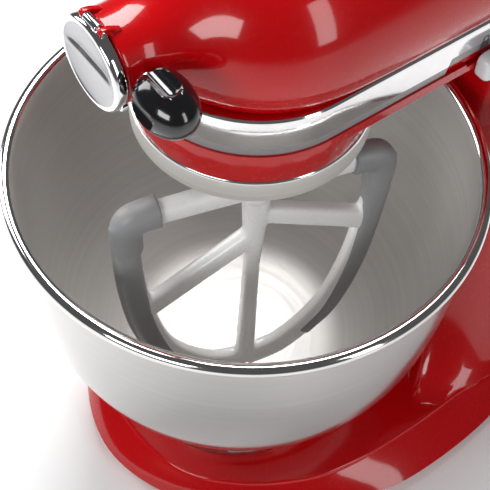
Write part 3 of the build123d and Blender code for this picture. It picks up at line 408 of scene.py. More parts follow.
# Satin inside of the bowl; its lighter, warmer colour than the outside is a painted reflection of batter.
BOWL_INSIDE_PAINTED_REFLECTION = BrushedMetal(
    "bowl_steel_inside", (0.62, 0.61, 0.59), (0.68, 0.67, 0.65), 0.46, (1.5, 380.0, 1.0),
    groove=0.00002, strength=0.08, anisotropy=0.1, metallic=0.6)
BOWL_RIM = PlainMetal("bowl_rim", (0.72, 0.715, 0.71), (0.8, 0.795, 0.79), 0.08, 90.0, 0.00001)
CHROME = PlainMetal("chrome", (0.74, 0.74, 0.75), (0.80, 0.80, 0.81), 0.06, 60.0, 0.00001)
CAP_FACE = BrushedMetal(
    "cap_face", (0.40, 0.40, 0.41), (0.48, 0.48, 0.49), 0.30, (2.0, 260.0, 1.0), anisotropy=0.3)
BLACK_GLOSS = Moulding(
    "black_gloss", (0.003, 0.003, 0.004), (0.007, 0.007, 0.008), 0.14, coat=0.6, skin=0.00001)
WHITE_COAT = Moulding(
    "white_coat", (0.90, 0.90, 0.89), (0.94, 0.94, 0.93), 0.3, coat=0.3, skin=0.00001)
GREY_SILICONE = Moulding(
    "grey_silicone", (0.26, 0.265, 0.27), (0.31, 0.315, 0.32), 0.42, grain=900.0, skin=0.00008)
RUBBER = Moulding(
    "foot_rubber", (0.02, 0.02, 0.02), (0.035, 0.035, 0.035), 0.75, grain=1200.0, skin=0.0001)
LEVER_SILVER = Moulding("lever_silver", (0.62, 0.64, 0.66), (0.70, 0.72, 0.74), 0.3, coat=0.4)
ICON_INK = Moulding("icon_ink", (0.03, 0.03, 0.032), (0.05, 0.05, 0.052), 0.5)
INNER_FINISHES: dict[str, PlainMetal | Moulding] = {
    "satin_steel": PlainMetal("satin_steel", (0.50, 0.495, 0.49), (0.60, 0.595, 0.59), 0.34),
    "zinc_steel": PlainMetal("zinc_steel", (0.48, 0.48, 0.5), (0.58, 0.58, 0.6), 0.36, 500.0),
    "machined_steel": PlainMetal("machined_steel", (0.45, 0.45, 0.46), (0.55, 0.55, 0.56), 0.28, 800.0),
    "lamination_steel": PlainMetal("lamination_steel", (0.13, 0.13, 0.14), (0.22, 0.22, 0.23), 0.5, 900.0),
    "cast_aluminium": PlainMetal(
        "cast_aluminium", (0.48, 0.48, 0.48), (0.58, 0.58, 0.58), 0.48, 350.0, 0.0001),
    "bronze": PlainMetal("bronze", (0.42, 0.26, 0.10), (0.55, 0.37, 0.16), 0.36, 450.0),
    "copper": PlainMetal("copper", (0.55, 0.22, 0.09), (0.70, 0.32, 0.14), 0.34, 900.0),
    "carbon": Moulding("carbon", (0.02, 0.02, 0.02), (0.04, 0.04, 0.04), 0.7),
    "board": Moulding("board", (0.02, 0.10, 0.04), (0.04, 0.16, 0.06), 0.5),
    "rubber": RUBBER,
    "black_plastic": BLACK_GLOSS,
    "chrome": CHROME,
    "red_enamel": RED,
}
Finish = Enamel | BrushedMetal | PlainMetal | Moulding
_made: dict[str, bpy.types.Material] = {}


def material(finish: Finish) -> bpy.types.Material:
    """Gives a finish's material, making it the first time.

    Args:
        finish: The finish wanted.

    Returns:
        Its material, shared by every piece that has it.
    """
    if finish.name not in _made:
        _made[finish.name] = finish.build()
    return _made[finish.name]


# ------------------------------------------------------------------ mesh making
@dataclass
class Sheet:
    """A surface of rows of points, with the UV of each point and the finish of each band between rows."""

    name: str
    rows: list[np.ndarray]
    finishes: Sequence[Finish]
    along: Sequence[float]
    bands: Sequence[int] | None = None
    closed: bool = True
    cap_start: bool = False
    cap_end: bool = False
    u_length: float = 1.0

    def build(self) -> bpy.types.Object:
        """Makes the mesh.

        Returns:
            The object, smooth shaded, with one material slot for each finish.
        """
        count = len(self.rows[0])
        points = np.concatenate(self.rows)
        faces: list[tuple[int, ...]] = []
        uvs: list[list[tuple[float, float]]] = []
        slots: list[int] = []
        columns = count if self.closed else count - 1
        for row in range(len(self.rows) - 1):
            v0, v1 = self.along[row], self.along[row + 1]
            for column in range(columns):
                after = (column + 1) % count
                u0, u1 = column / count * self.u_length, (column + 1) / count * self.u_length
                faces.append((row * count + column, row * count + after, (row + 1) * count + after,
                              (row + 1) * count + column))
                uvs.append([(u0, v0), (u1, v0), (u1, v1), (u0, v1)])
                slots.append(self.bands[row] if self.bands is not None else 0)
        for wanted, row in ((self.cap_start, 0), (self.cap_end, len(self.rows) - 1)):
            if wanted:
                ring = [row * count + column for column in range(count)]
                faces.append(tuple(ring if row else reversed(ring)))
                uvs.append([(0.0, self.along[row])] * count)
                slots.append(self.bands[min(row, len(self.rows) - 2)] if self.bands is not None else 0)
        mesh = bpy.data.meshes.new(self.name)
        mesh.from_pydata([tuple(point) for point in points], [], faces)
        layer = mesh.uv_layers.new(name="UVMap")
        layer.data.foreach_set("uv", [value for face in uvs for uv in face for value in uv])
        mesh.polygons.foreach_set("material_index", slots)
        mesh.polygons.foreach_set("use_smooth", [True] * len(faces))
        mesh.update()
        tidy = bmesh.new()
        tidy.from_mesh(mesh)
        bmesh.ops.remove_doubles(tidy, verts=tidy.verts, dist=1e-7)
        bmesh.ops.recalc_face_normals(tidy, faces=tidy.faces)
        tidy.to_mesh(mesh)
        tidy.free()
        made = bpy.data.objects.new(self.name, mesh)
        bpy.context.scene.collection.objects.link(made)
        for finish in self.finishes:
            mesh.materials.append(material(finish))
        return made


def lathe(name: str, profile: Sequence[tuple[float, float]], frame_matrix: Matrix, finishes: Sequence[Finish],
          bands: Sequence[int] | None = None, segments: int = 128) -> bpy.types.Object:
    """Turns a profile about an axis.

    Args:
        name: The piece's name.
        profile: Radius and distance along the axis, point by point.
        frame_matrix: Takes the profile's axis, local Z, to its place.
        finishes: The piece's finishes.
        bands: Which finish each stretch of the profile has.
        segments: Points round the axis.

    Returns:
        The turned piece.
    """
    angles = np.arange(segments) * 2 * math.pi / segments
    rows = []
    along = []
    travelled = 0.0
    previous = profile[0]
    for radius, height in profile:
        travelled += math.hypot(radius - previous[0], height - previous[1])
        previous = (radius, height)
        local = np.column_stack([radius * np.cos(angles), radius * np.sin(angles), np.full(segments, height)])
        rows.append(local @ np.array(frame_matrix.to_3x3()).T + np.array(frame_matrix.translation))
        along.append(travelled)
    return Sheet(name, rows, finishes, along, bands).build()


def smooth_profile(corners: Sequence[tuple[float, float]], radii: Sequence[float], steps: int = 5
                   ) -> list[tuple[float, float]]:
    """Rounds the corners of a profile.

    Args:
        corners: The profile's corners.
        radii: How far back from each corner its round starts; 0 keeps it sharp.
        steps: Points on each round.

    Returns:
        The profile with each corner replaced by a short curve.
    """
    smooth: list[tuple[float, float]] = []
    for index, (corner, radius) in enumerate(zip(corners, radii)):
        here = np.array(corner)
        if radius <= 0 or index in (0, len(corners) - 1):
            smooth.append(tuple(here))
            continue
        before = np.array(corners[index - 1]) - here
        after = np.array(corners[index + 1]) - here
        back = min(radius, 0.48 * np.linalg.norm(before), 0.48 * np.linalg.norm(after))
        start = here + before / np.linalg.norm(before) * back
        end = here + after / np.linalg.norm(after) * back
        for step in range(steps + 1):
            t = step / steps
            smooth.append(tuple((1 - t) ** 2 * start + 2 * t * (1 - t) * here + t * t * end))
    return smooth


def spline_point(known: Sequence[np.ndarray], t: float) -> np.ndarray:
    """A point on a smooth curve between the second and third of four points.

    Args:
        known: Four points in a row.
        t: Share of the way, from 0 to 1.

    Returns:
        The point.
    """
    p0, p1, p2, p3 = known
    return 0.5 * (2 * p1 + (p2 - p0) * t + (2 * p0 - 5 * p1 + 4 * p2 - p3) * t**2
                  + (3 * p1 - p0 - 3 * p2 + p3) * t**3)


def smooth_line(points: Sequence[tuple[float, ...]], count: int) -> np.ndarray:
    """A smooth curve through points.

    Args:
        points: Places, and widths if any, to pass through.
        count: Points wanted on the curve.

    Returns:
        The curve's points.
    """
    known = np.array(points, dtype=float)
    known = np.vstack([2 * known[0] - known[1], known, 2 * known[-1] - known[-2]])
    spans = len(known) - 3
    made = []
    for value in np.linspace(0, spans, count):
        index = min(int(value), spans - 1)
        made.append(spline_point(known[index:index + 4], value - index))
    return np.array(made)


def upright_axis(x: float, y: float, z: float = 0.0) -> Matrix:
    """A frame whose local Z is the world's Z, at a point."""
    return Matrix.Translation((x, y, z))


def side_axis(x: float, y: float, z: float) -> Matrix:
    """A frame whose local Z runs along +X, at a point."""
    return Matrix.Translation((x, y, z)) @ Matrix.Rotation(math.radians(90), 4, "Y")


def profile_axis(x: float, y: float, z: float) -> Matrix:
    """A frame whose local X, Y and Z run along the world's Y, Z and X, at a point."""
    return Matrix.Translation((x, y, z)) @ Matrix(((0, 0, 1, 0), (1, 0, 0, 0), (0, 1, 0, 0), (0, 0, 0, 1)))


def place(piece: bpy.types.Object, body: Body, slot: str, *nodes: str) -> bpy.types.Object:
    """Attaches a piece to its body and hides the CAD nodes that it stands for.

    Args:
        piece: The piece.
        body: The body that it rides on.
        slot: The record's material slot for it; not used.
        nodes: CAD nodes that it replaces.

    Returns:
        The same piece.
    """
    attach(piece, body.value)
    if nodes:
        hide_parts(*nodes)
    LOG.info("%s rides on %s%s", piece.name, body.value, f", for {', '.join(nodes)}" if nodes else "")
    return piece


def grid_piece(name: str, rows: list[np.ndarray], finishes: Sequence[Finish],
               bands: Sequence[int] | None = None, crease: float = 38.0, **caps: bool) -> bpy.types.Object:
    """Makes a closed-loop surface and keeps its true edges crisp.

    Args:
        name: The piece's name.
        rows: Loops of points, all with the same count, one after the other.
        finishes: The piece's finishes.
        bands: Which finish each stretch between two loops has.
        crease: Edges that turn by more than this many degrees stay crisp.
        caps: cap_start or cap_end to close an end.

    Returns:
        The piece.
    """
    along = [0.0]
    for before, after in zip(rows, rows[1:]):
        along.append(along[-1] + float(np.linalg.norm(after - before, axis=1).mean()))
    ring = float(np.linalg.norm(np.roll(rows[0], -1, axis=0) - rows[0], axis=1).sum())
    piece = Sheet(name, rows, finishes, along, bands, u_length=max(ring, 0.05), **caps).build()
    piece.data.set_sharp_from_angle(angle=math.radians(crease))
    return piece


def crisp(piece: bpy.types.Object, angle: float = 35.0) -> bpy.types.Object:
    """Keeps edges that turn by more than an angle crisp, and returns the piece."""
    piece.data.set_sharp_from_angle(angle=math.radians(angle))
    return piece


def baked(piece: bpy.types.Object) -> bpy.types.Object:
    """Replaces a piece's mesh with what its modifiers make of it.

    Args:
        piece: A piece with modifiers.

    Returns:
        The same piece, with none.
    """
    graph = bpy.context.evaluated_depsgraph_get()
    mesh = bpy.data.meshes.new_from_object(piece.evaluated_get(graph))
    piece.modifiers.clear()
    piece.data = mesh
    return piece


def joined(name: str, pieces: Sequence[bpy.types.Object]) -> bpy.types.Object:
    """Joins pieces into one.

    Args:
        name: The joined piece's name.
        pieces: The pieces to join; the first one's materials come first.

    Returns:
        The joined piece.
    """
    slots: list[bpy.types.Material] = []
    made = bmesh.new()
    made.loops.layers.uv.new("UVMap")
    for piece in pieces:
        lookup = []
        for finish in piece.data.materials:
            if finish not in slots:
                slots.append(finish)
            lookup.append(slots.index(finish))
        mesh = piece.data
        mesh.transform(piece.matrix_world)
        before = len(made.faces)
        made.from_mesh(mesh)
        made.faces.ensure_lookup_table()
        for face in made.faces[before:]:
            face.material_index = lookup[face.material_index] if lookup else 0
        bpy.data.objects.remove(piece)
    mesh = bpy.data.meshes.new(name)
    made.to_mesh(mesh)
    made.free()
    for finish in slots:
        mesh.materials.append(finish)
    whole = bpy.data.objects.new(name, mesh)
    bpy.context.scene.collection.objects.link(whole)
    return whole


def cut(piece: bpy.types.Object, cutter: bpy.types.Object) -> None:
    """Takes a cutter's volume out of a piece and deletes the cutter.

    Args:
        piece: The piece to cut.
        cutter: A closed solid.
    """
    modifier = piece.modifiers.new("cut", "BOOLEAN")
    modifier.operation = "DIFFERENCE"
    modifier.solver = "EXACT"
    modifier.object = cutter
    bpy.context.view_layer.update()
    baked(piece)
    bpy.data.objects.remove(cutter)


def prism(name: str, outline: Sequence[tuple[float, float]], place_at: Matrix, depth: float, finish: Finish,
          rounding: float = 0.0) -> bpy.types.Object:
    """Extrudes an outline along its frame's local Z.

    Args:
        name: The piece's name.
        outline: Corners in the frame's local X and Y.
        place_at: The frame.
        depth: How far it is extruded.
        finish: Its finish.
        rounding: Radius of a round on every crisp edge.

    Returns:
        The extruded piece.
    """
    corners = [place_at @ Vector((x, y, z)) for z in (0.0, depth) for x, y in outline]
    count = len(outline)
    faces = [tuple(reversed(range(count))), tuple(range(count, 2 * count))]
    faces += [(i, (i + 1) % count, (i + 1) % count + count, i + count) for i in range(count)]
    mesh = bpy.data.meshes.new(name)
    mesh.from_pydata([tuple(corner) for corner in corners], [], faces)
    made = bmesh.new()
    made.from_mesh(mesh)
    bmesh.ops.recalc_face_normals(made, faces=made.faces)
    if rounding:
        crisp_edges = [edge for edge in made.edges if edge.calc_face_angle(0.0) > math.radians(28)]
        bmesh.ops.bevel(made, geom=crisp_edges, offset=rounding, segments=4, affect="EDGES", profile=0.5)
    for face in made.faces:
        face.smooth = True
    made.to_mesh(mesh)
    made.free()
    mesh.uv_layers.new(name="UVMap")
    mesh.materials.append(material(finish))
    piece = bpy.data.objects.new(name, mesh)
    bpy.context.scene.collection.objects.link(piece)
    return crisp(piece, 32.0)


def stadium(half_width: float, front_y: float, rear_y: float, arc: int = 72, side: int = 60) -> np.ndarray:
    """Points round the head's plan outline.

    Args:
        half_width: Half the outline's width.
        front_y: Centre of the round front end.
        rear_y: Centre of the round rear end.
        arc: Points on each round end.
        side: Points on each straight side.

    Returns:
        The points, from the +X side at the front, clockwise seen from above.
    """
    front = [(half_width * math.cos(a), front_y + half_width * math.sin(a))
             for a in np.linspace(0, -math.pi, arc, endpoint=False)]
    left = [(-half_width, y) for y in np.linspace(front_y, rear_y, side, endpoint=False)]
    rear = [(half_width * math.cos(a), rear_y + half_width * math.sin(a))
            for a in np.linspace(math.pi, 0, arc, endpoint=False)]
    right = [(half_width, y) for y in np.linspace(rear_y, front_y, side, endpoint=False)]
    return np.array(front + left + rear + right)


def smooth_step(value: np.ndarray | float, low: float, high: float) -> np.ndarray | float:
    """Runs from 0 at one value to 1 at another with soft ends."""
    t = np.clip((value - low) / (high - low), 0.0, 1.0)
    return t * t * (3 - 2 * t)


# ------------------------------------------------------------------ head
@dataclass
class HeadShell:
    """The enamelled upper housing and its rear cover: one bullet-shaped casting line with a hub neck."""

    layout: Layout
    half_width: float = 54 * MM
    sill: float = 49.6 * MM
    bulge: float = 15.5 * MM  # height of the widest line above the band
    end_soft: float = 22 * MM
    crown_fall_front: float = 5.0 * MM
    crown_fall_rear: float = 4.0 * MM
    tail_fullness: float = 2.9  # 2 is an ellipse, more is fuller
    neck_r: float = 18.0 * MM
    neck_blend: float = 15 * MM
    bore_r: float = 13 * MM
    bore_depth: float = 30.2 * MM
    lip: float = 1.1 * MM
    seam: float = 0.35 * MM
    ear_eye: float = 1.6 * MM  # radius of the ear round the cap's pin
    ear_thick: float = 2.4 * MM
    ear_apart: float = 5.9 * MM  # from the middle to each ear
    segments: int = 168
    nose_y: float = field(init=False)
    rear_y: float = field(init=False)

    def __post_init__(self) -> None:
        """Places the two ends of the straight middle."""
        self.nose_y = self.layout.bowl_y + 1.5 * MM
        self.rear_y = self.layout.head_rear - self.half_width - 1.0 * MM

    def field_at(self, x: np.ndarray, y: float, z: np.ndarray) -> np.ndarray:
        """Signed size of the casting's surface at points of one cross-section.

        Args:
            x: Places across.
            y: The section's place along the head.
            z: Heights.

        Returns:
            Negative inside, positive outside, roughly in metres.
        """
        soft = self.end_soft
        ahead, behind = self.nose_y - y, y - self.rear_y
        nose = (ahead + math.hypot(ahead, soft)) / 2 / self.half_width
        tail = (behind + math.hypot(behind, soft)) / 2 / self.half_width
        bulge_z = self.layout.band_high + self.bulge
        fall = self.crown_fall_front * float(smooth_step(-y, -25 * MM, 80 * MM))
        fall += self.crown_fall_rear * float(smooth_step(y, 50 * MM, 150 * MM))
        crown = self.layout.head_top - 0.3 * MM - bulge_z - fall
        tuck = self.bulge / math.sqrt(1 - (self.sill / self.half_width) ** 2)
        height = np.where(z > bulge_z, (z - bulge_z) / crown, (z - bulge_z) / tuck)
        ends = nose**2 + tail**self.tail_fullness
        body = (np.sqrt((np.abs(x) / self.half_width) ** 2 + ends + height**2) - 1) * self.half_width
        neck = np.hypot(x, z - self.layout.hub_z) - self.neck_r
        neck = np.maximum(neck, y - (self.layout.bowl_y + 10 * MM))
        blend = np.maximum(self.neck_blend - np.abs(body - neck), 0) / self.neck_blend
        return np.minimum(body, neck) - blend**2 * self.neck_blend / 4

    def section(self, y: float, centre_z: float) -> np.ndarray:
        """Finds one loop of the outside by halving along rays from the section's centre.

        Args:
            y: The section's place along the head.
            centre_z: Height of its centre.

        Returns:
            The loop.
        """
        angles = np.arange(self.segments) * 2 * math.pi / self.segments
        across, up = np.cos(angles), np.sin(angles)
        low, high = np.zeros(self.segments), np.full(self.segments, 80 * MM)
        for _ in range(26):
            middle = (low + high) / 2
            inside = self.field_at(across * middle, y, centre_z + up * middle) < 0
            low, high = np.where(inside, middle, low), np.where(inside, high, middle)
        floor = np.where(up < -1e-6, (centre_z - self.layout.band_high) / np.maximum(-up, 1e-6), 1.0)
        radius = np.minimum(low, floor)
        return np.stack([across * radius, np.full(self.segments, y), centre_z + up * radius], axis=1)

    def centre(self, y: float) -> float:
        """Height of a section's centre: the hub's axis at the nose, the widest line further back."""
        bulge_z = self.layout.band_high + self.bulge
        share = float(smooth_step(y, self.layout.bowl_y - 45 * MM, self.layout.bowl_y + 10 * MM))
        return self.layout.hub_z + (bulge_z - self.layout.hub_z) * share

    def stations(self, start: float, end: float) -> np.ndarray:
        """Places of the cross-sections, closest together at the nose and at the tail.

        Args:
            start: The first place.
            end: The last place.

        Returns:
            The places in order.
        """
        dense_nose = np.arange(self.layout.bowl_y - 53 * MM, self.layout.bowl_y - 38 * MM, 0.45 * MM)
        broad = np.arange(self.layout.hub_face, self.layout.head_rear - 12 * MM, 2.2 * MM)
        tail = self.layout.head_rear - 1.2 * MM - 12 * MM * np.linspace(1, 0, 22) ** 2
        every = np.unique(np.concatenate([dense_nose, broad, tail, [start, end]]))
        return every[(every >= start) & (every <= end)]

    def ring(self, y: float, radius: float) -> np.ndarray:
        """A plain round loop about the hub's axis."""
        angles = np.arange(self.segments) * 2 * math.pi / self.segments
        return np.stack([radius * np.cos(angles), np.full(self.segments, y),
                         self.layout.hub_z + radius * np.sin(angles)], axis=1)

    def inset(self, loop: np.ndarray, centre_z: float, depth: float, y: float) -> np.ndarray:
        """A loop drawn in towards its centre, at another place along the head.

        Args:
            loop: The loop.
            centre_z: Height of its centre.
            depth: How far it is drawn in.
            y: The new loop's place.

        Returns:
            The new loop.
        """
        flat = loop - np.array([0, loop[0][1], centre_z])
        size = np.linalg.norm(flat, axis=1, keepdims=True)
        moved = flat * (size - depth) / size
        return moved + np.array([0, y, centre_z])

    def upper_housing(self) -> bpy.types.Object:
        """Builds the housing from the hub's bore to the seam.

        Returns:
            The housing.
        """
        face = self.layout.hub_face
        rows = [self.ring(face + self.bore_depth, 0.5 * MM), self.ring(face + self.bore_depth, self.bore_r),
                self.ring(face + 0.8 * MM, self.bore_r), self.ring(face, self.bore_r + 0.8 * MM)]
        for step in np.linspace(0, math.pi / 2, 6):
            back, drawn = self.lip * (1 - math.cos(step)), self.lip * (1 - math.sin(step))
            rows.append(self.ring(face + back, self.neck_r - drawn))
        end = self.layout.split_y - self.seam
        for y in self.stations(face + 2.2 * MM, end - 0.5 * MM):
            rows.append(self.section(float(y), self.centre(float(y))))
        last, height = rows[-1], self.centre(end)
        rows.append(self.inset(last, height, 0.5 * MM, end))
        rows.append(self.inset(last, height, 4.0 * MM, end))
        rows.append(self.inset(last, height, 4.0 * MM, end - 6 * MM))
        return grid_piece("upper_housing_shell", rows, [RED], cap_end=True)

    def rear_cover(self) -> bpy.types.Object:
        """Builds the cover behind the seam.

        Returns:
            The cover.
        """
        start = self.layout.split_y + self.seam
        height = self.centre(start)
        first = self.section(start + 0.5 * MM, height)
        rows = [self.inset(first, height, 4.0 * MM, start), self.inset(first, height, 0.5 * MM, start)]
        for y in self.stations(start + 0.5 * MM, self.layout.head_rear):
            rows.append(self.section(float(y), self.centre(float(y))))
        kept = [row for row in rows if np.ptp(row[:, 0]) > 0.4 * MM]
        return grid_piece("rear_cover_shell", kept, [RED], cap_start=True, cap_end=True)

    def cap_ears(self) -> bpy.types.Object:
        """Builds the two ears that hold the hub cap's pin.

        Returns:
            Both ears as one piece.
        """
        pin_y, pin_z = self.layout.cap_pin_y, self.layout.cap_pin_z
        ears = []
        for way in (-1, 1):
            eye = self.ear_eye
            outline = [(-eye * math.cos(a), eye * math.sin(a)) for a in np.linspace(-1.2, math.pi / 2, 9)]
            root = ((3.0, 1.0), (7.5, -1.2), (7.5, -5.2), (2.4, -5.2), (2.0, -1.6))
            outline += [(along * MM, up * MM) for along, up in root]
            at = profile_axis(way * self.ear_apart - self.ear_thick / 2, pin_y, pin_z)
            ears.append(prism("ear", outline, at, self.ear_thick, RED, 0.5 * MM))
        return joined("hub_cap_ears", ears)

    def build(self) -> None:
        """Builds and places the head's enamelled shells."""
        place(self.upper_housing(), Body.HEAD, "red_enamel", "upper_housing")
        place(self.rear_cover(), Body.HEAD, "red_enamel", "rear_cover")
        place(self.cap_ears(), Body.HEAD, "red_enamel")


@dataclass
class TrimBand:
    """The brushed steel band round the head, bevelled below, with a step up over each lever."""

    layout: Layout
    thickness: float = 1.1 * MM
    bevel: float = 4.6 * MM
    notch: tuple[float, float] = (-10 * MM, 66 * MM)
    notch_rise: float = 3.9 * MM
    padlock: tuple[float, float] = (9.4 * MM, 272.2 * MM)

    def low_edge(self, y: float) -> float:
        """How far the lower edge steps up at a place along the band.

        Args:
            y: The place.

        Returns:
            The rise, 0 outside the notch.
        """
        start, end = self.notch
        ramp = 1.3 * MM
        share = smooth_step(y, start, start + ramp) * smooth_step(-y, -end, ramp - end)
        return self.notch_rise * float(share)

    def path(self, half_width: float) -> np.ndarray:
        """The band's plan outline with extra points at the steps.

        Args:
            half_width: Half the outline's width.

        Returns:
            The points.
        """
        front, rear = self.layout.bowl_y, self.layout.head_rear - 54 * MM
        points = stadium(half_width, front, rear)
        sides = points[np.abs(np.abs(points[:, 0]) - half_width) < 1e-9]
        keep = points[np.abs(np.abs(points[:, 0]) - half_width) >= 1e-9]
        extra = np.concatenate([np.linspace(edge - 0.4 * MM, edge + 1.8 * MM, 8) for edge in
                                (self.notch[0], self.notch[1] - 1.4 * MM)])
        along = np.unique(np.concatenate([sides[sides[:, 0] < 0][:, 1], extra]))
        arc_front = keep[keep[:, 1] < front]
        arc_rear = keep[keep[:, 1] > rear]
        left = np.stack([np.full(len(along), -half_width), along], axis=1)
        right = np.stack([np.full(len(along), half_width), along[::-1]], axis=1)
        return np.concatenate([arc_front, left, arc_rear, right])

    def build(self) -> None:
        """Builds the band and the padlock sign beside the lock lever."""
        low, high, wide = self.layout.band_low, self.layout.band_high, self.layout.band_r
        # Third value picks the finish: 0 the bevel with painted shade, 1 the plain face, 2 the upper edge with a
        # painted highlight.
        profile = [(-self.thickness, low, 0), (-1.0 * MM, low, 0), (-0.75 * MM, low + 0.1 * MM, 0),
                   (-0.1 * MM, low + self.bevel, 1), (0.0, low + self.bevel + 0.5 * MM, 1),
                   (0.0, high - 1.5 * MM, 2), (-0.15 * MM, high - 0.9 * MM, 2),
                   (-0.55 * MM, high - 0.15 * MM, 2), (-0.8 * MM, high, 2), (-self.thickness, high, 2)]
        rows = []
        for inset, height, _ in profile:
            loop = self.path(wide + inset)
            lift = np.array([self.low_edge(y) for _, y in loop])
            share = max(0.0, 1 - (height - low) / (self.bevel + 4 * MM))
            lifted = height + lift * (share if height > low + self.bevel + 1 * MM else 1.0)
            rows.append(np.column_stack([loop, lifted]))
        bands = [point[2] for point in profile[1:]]
        band = grid_piece("trim_band_strip", rows, [BAND_BEVEL_PAINTED_SHADE, BAND_STEEL, BRIGHT_EDGE_PAINTED_HIGHLIGHT], bands, crease=14.0)
        place(band, Body.HEAD, "band_steel", "trim_band")
        place(self.padlock_sign(), Body.HEAD, "black_plastic")

    def padlock_sign(self) -> bpy.types.Object:
        """Builds the printed padlock: a body with a keyhole gap and an open shackle.

        Returns:
            The sign, a thin print on the band.
        """
        y, z = self.padlock
        at = profile_axis(self.layout.band_r - 0.02 * MM, y, z)
        parts = []
        half, hole, body_top = 2.2, 0.55, 0.6
        strips = ((-3.2, -2.0, -half, half), (-0.9, body_top, -half, half), (-2.0, -0.9, -half, -hole),
                  (-2.0, -0.9, hole, half))
        for low_y, high_y, left, right in strips:
            outline = [(left, low_y), (right, low_y), (right, high_y), (left, high_y)]
            parts.append(prism("sign", [(a * MM, b * MM) for a, b in outline], at, 0.08 * MM, ICON_INK))
        turn = np.linspace(0, math.pi, 13)
        outer = [(1.6 * math.cos(a), 2.0 + 1.6 * math.sin(a)) for a in turn]
        inner = [(1.0 * math.cos(a), 2.0 + 1.0 * math.sin(a)) for a in turn[::-1]]
        shackle = [(1.6, body_top), *outer, (-1.6, body_top), (-1.0, body_top), *inner, (1.0, body_top)]
        parts.append(prism("sign", [(a * MM, b * MM) for a, b in shackle], at, 0.08 * MM, ICON_INK))
        return joined("padlock_sign", parts)


@dataclass
class HubCap:
    """The hinged chrome cap over the attachment hub, with a dished brushed face and a bar across it."""

    layout: Layout
    dish_r: float = 16.4 * MM
    dish: float = 1.5 * MM
    bar_height: float = 1.35 * MM
    bar_half: float = 2.1 * MM
    tab_below: float = 28.0  # degrees that the finger tab sits below the side
    segments: int = 144

    def face_depth(self, across: float, up: float) -> float:
        """Depth of the dished face behind the rim at a point of the face.

        Args:
            across: Place across from the middle.
            up: Place up from the middle.

        Returns:
            The depth, less where the bar stands.
        """
        share = math.hypot(across, up) / self.dish_r
        bowl = self.dish * (1 - share**4) * (1 - 0.25 * (up / self.dish_r))
        bar = math.exp(-((up / self.bar_half) ** 4)) * (1 - share**6)
        return bowl - self.bar_height * max(bar, 0.0)

    def build(self) -> None:
        """Builds the cap with its knuckle and finger tab."""
        front, axis_z = self.layout.cap_front, self.layout.hub_z
        angles = np.arange(self.segments) * 2 * math.pi / self.segments
        rows, bands = [], []

        def loop(radius: float, y: float, shaped: bool = False) -> np.ndarray:
            """One round loop, its face sunk and barred where it is shaped."""
            across, up = radius * np.cos(angles), radius * np.sin(angles)
            sunk = np.array([self.face_depth(a, b) if shaped else 0.0 for a, b in zip(across, up)])
            return np.stack([across, y + sunk, axis_z + up], axis=1)

        for radius in np.linspace(0.02, 1.0, 34) * self.dish_r:
            rows.append(loop(float(radius), front + 0.25 * MM, True))
            bands.append(0)
        rim = ((16.6, 0.05), (16.9, 0.0), (17.6, 0.0), (18.2, 0.18), (18.7, 0.62), (19.0, 1.4), (19.0, 4.0),
               (18.8, 4.4), (18.3, 4.6), (2.0, 4.6))
        for radius, y in rim:
            rows.append(loop(radius * MM, front + y * MM))
            bands.append(1)
        cap = grid_piece("hub_cap_cover", rows, [CAP_FACE, CHROME], bands[1:], cap_start=True, cap_end=True)
        bore, outer, half = 0.95 * MM, 1.9 * MM, 3.9 * MM
        corners = [(bore, -half), (outer, -half), (outer, half), (bore, half)]
        sleeve = smooth_profile(corners, [0, 0.4 * MM, 0.4 * MM, 0])
        pin = side_axis(0, self.layout.cap_pin_y, self.layout.cap_pin_z)
        knuckle = lathe("knuckle", sleeve, pin, [CHROME], segments=32)
        corners = [(-2.4 * MM, -2.0 * MM), (-2.0 * MM, 1.4 * MM), (0, 1.75 * MM), (2.0 * MM, 1.4 * MM),
                   (2.4 * MM, -2.0 * MM)]
        outline = smooth_profile(corners, [0, 1.0 * MM, 0.6 * MM, 1.0 * MM, 0])
        turn = Matrix.Rotation(math.radians(90 + self.tab_below), 4, "Y")
        tab_at = (Matrix.Translation((0, front + 4.9 * MM, axis_z)) @ turn
                  @ Matrix.Translation((0, 0, 18.4 * MM)) @ Matrix.Rotation(math.pi / 2, 4, "X"))
        tab = prism("tab", outline, tab_at, 2.6 * MM, CHROME, 0.4 * MM)
        place(joined("hub_cap_assembly", [cap, knuckle, tab]), Body.HUB_CAP, "chrome", "hub_cap")


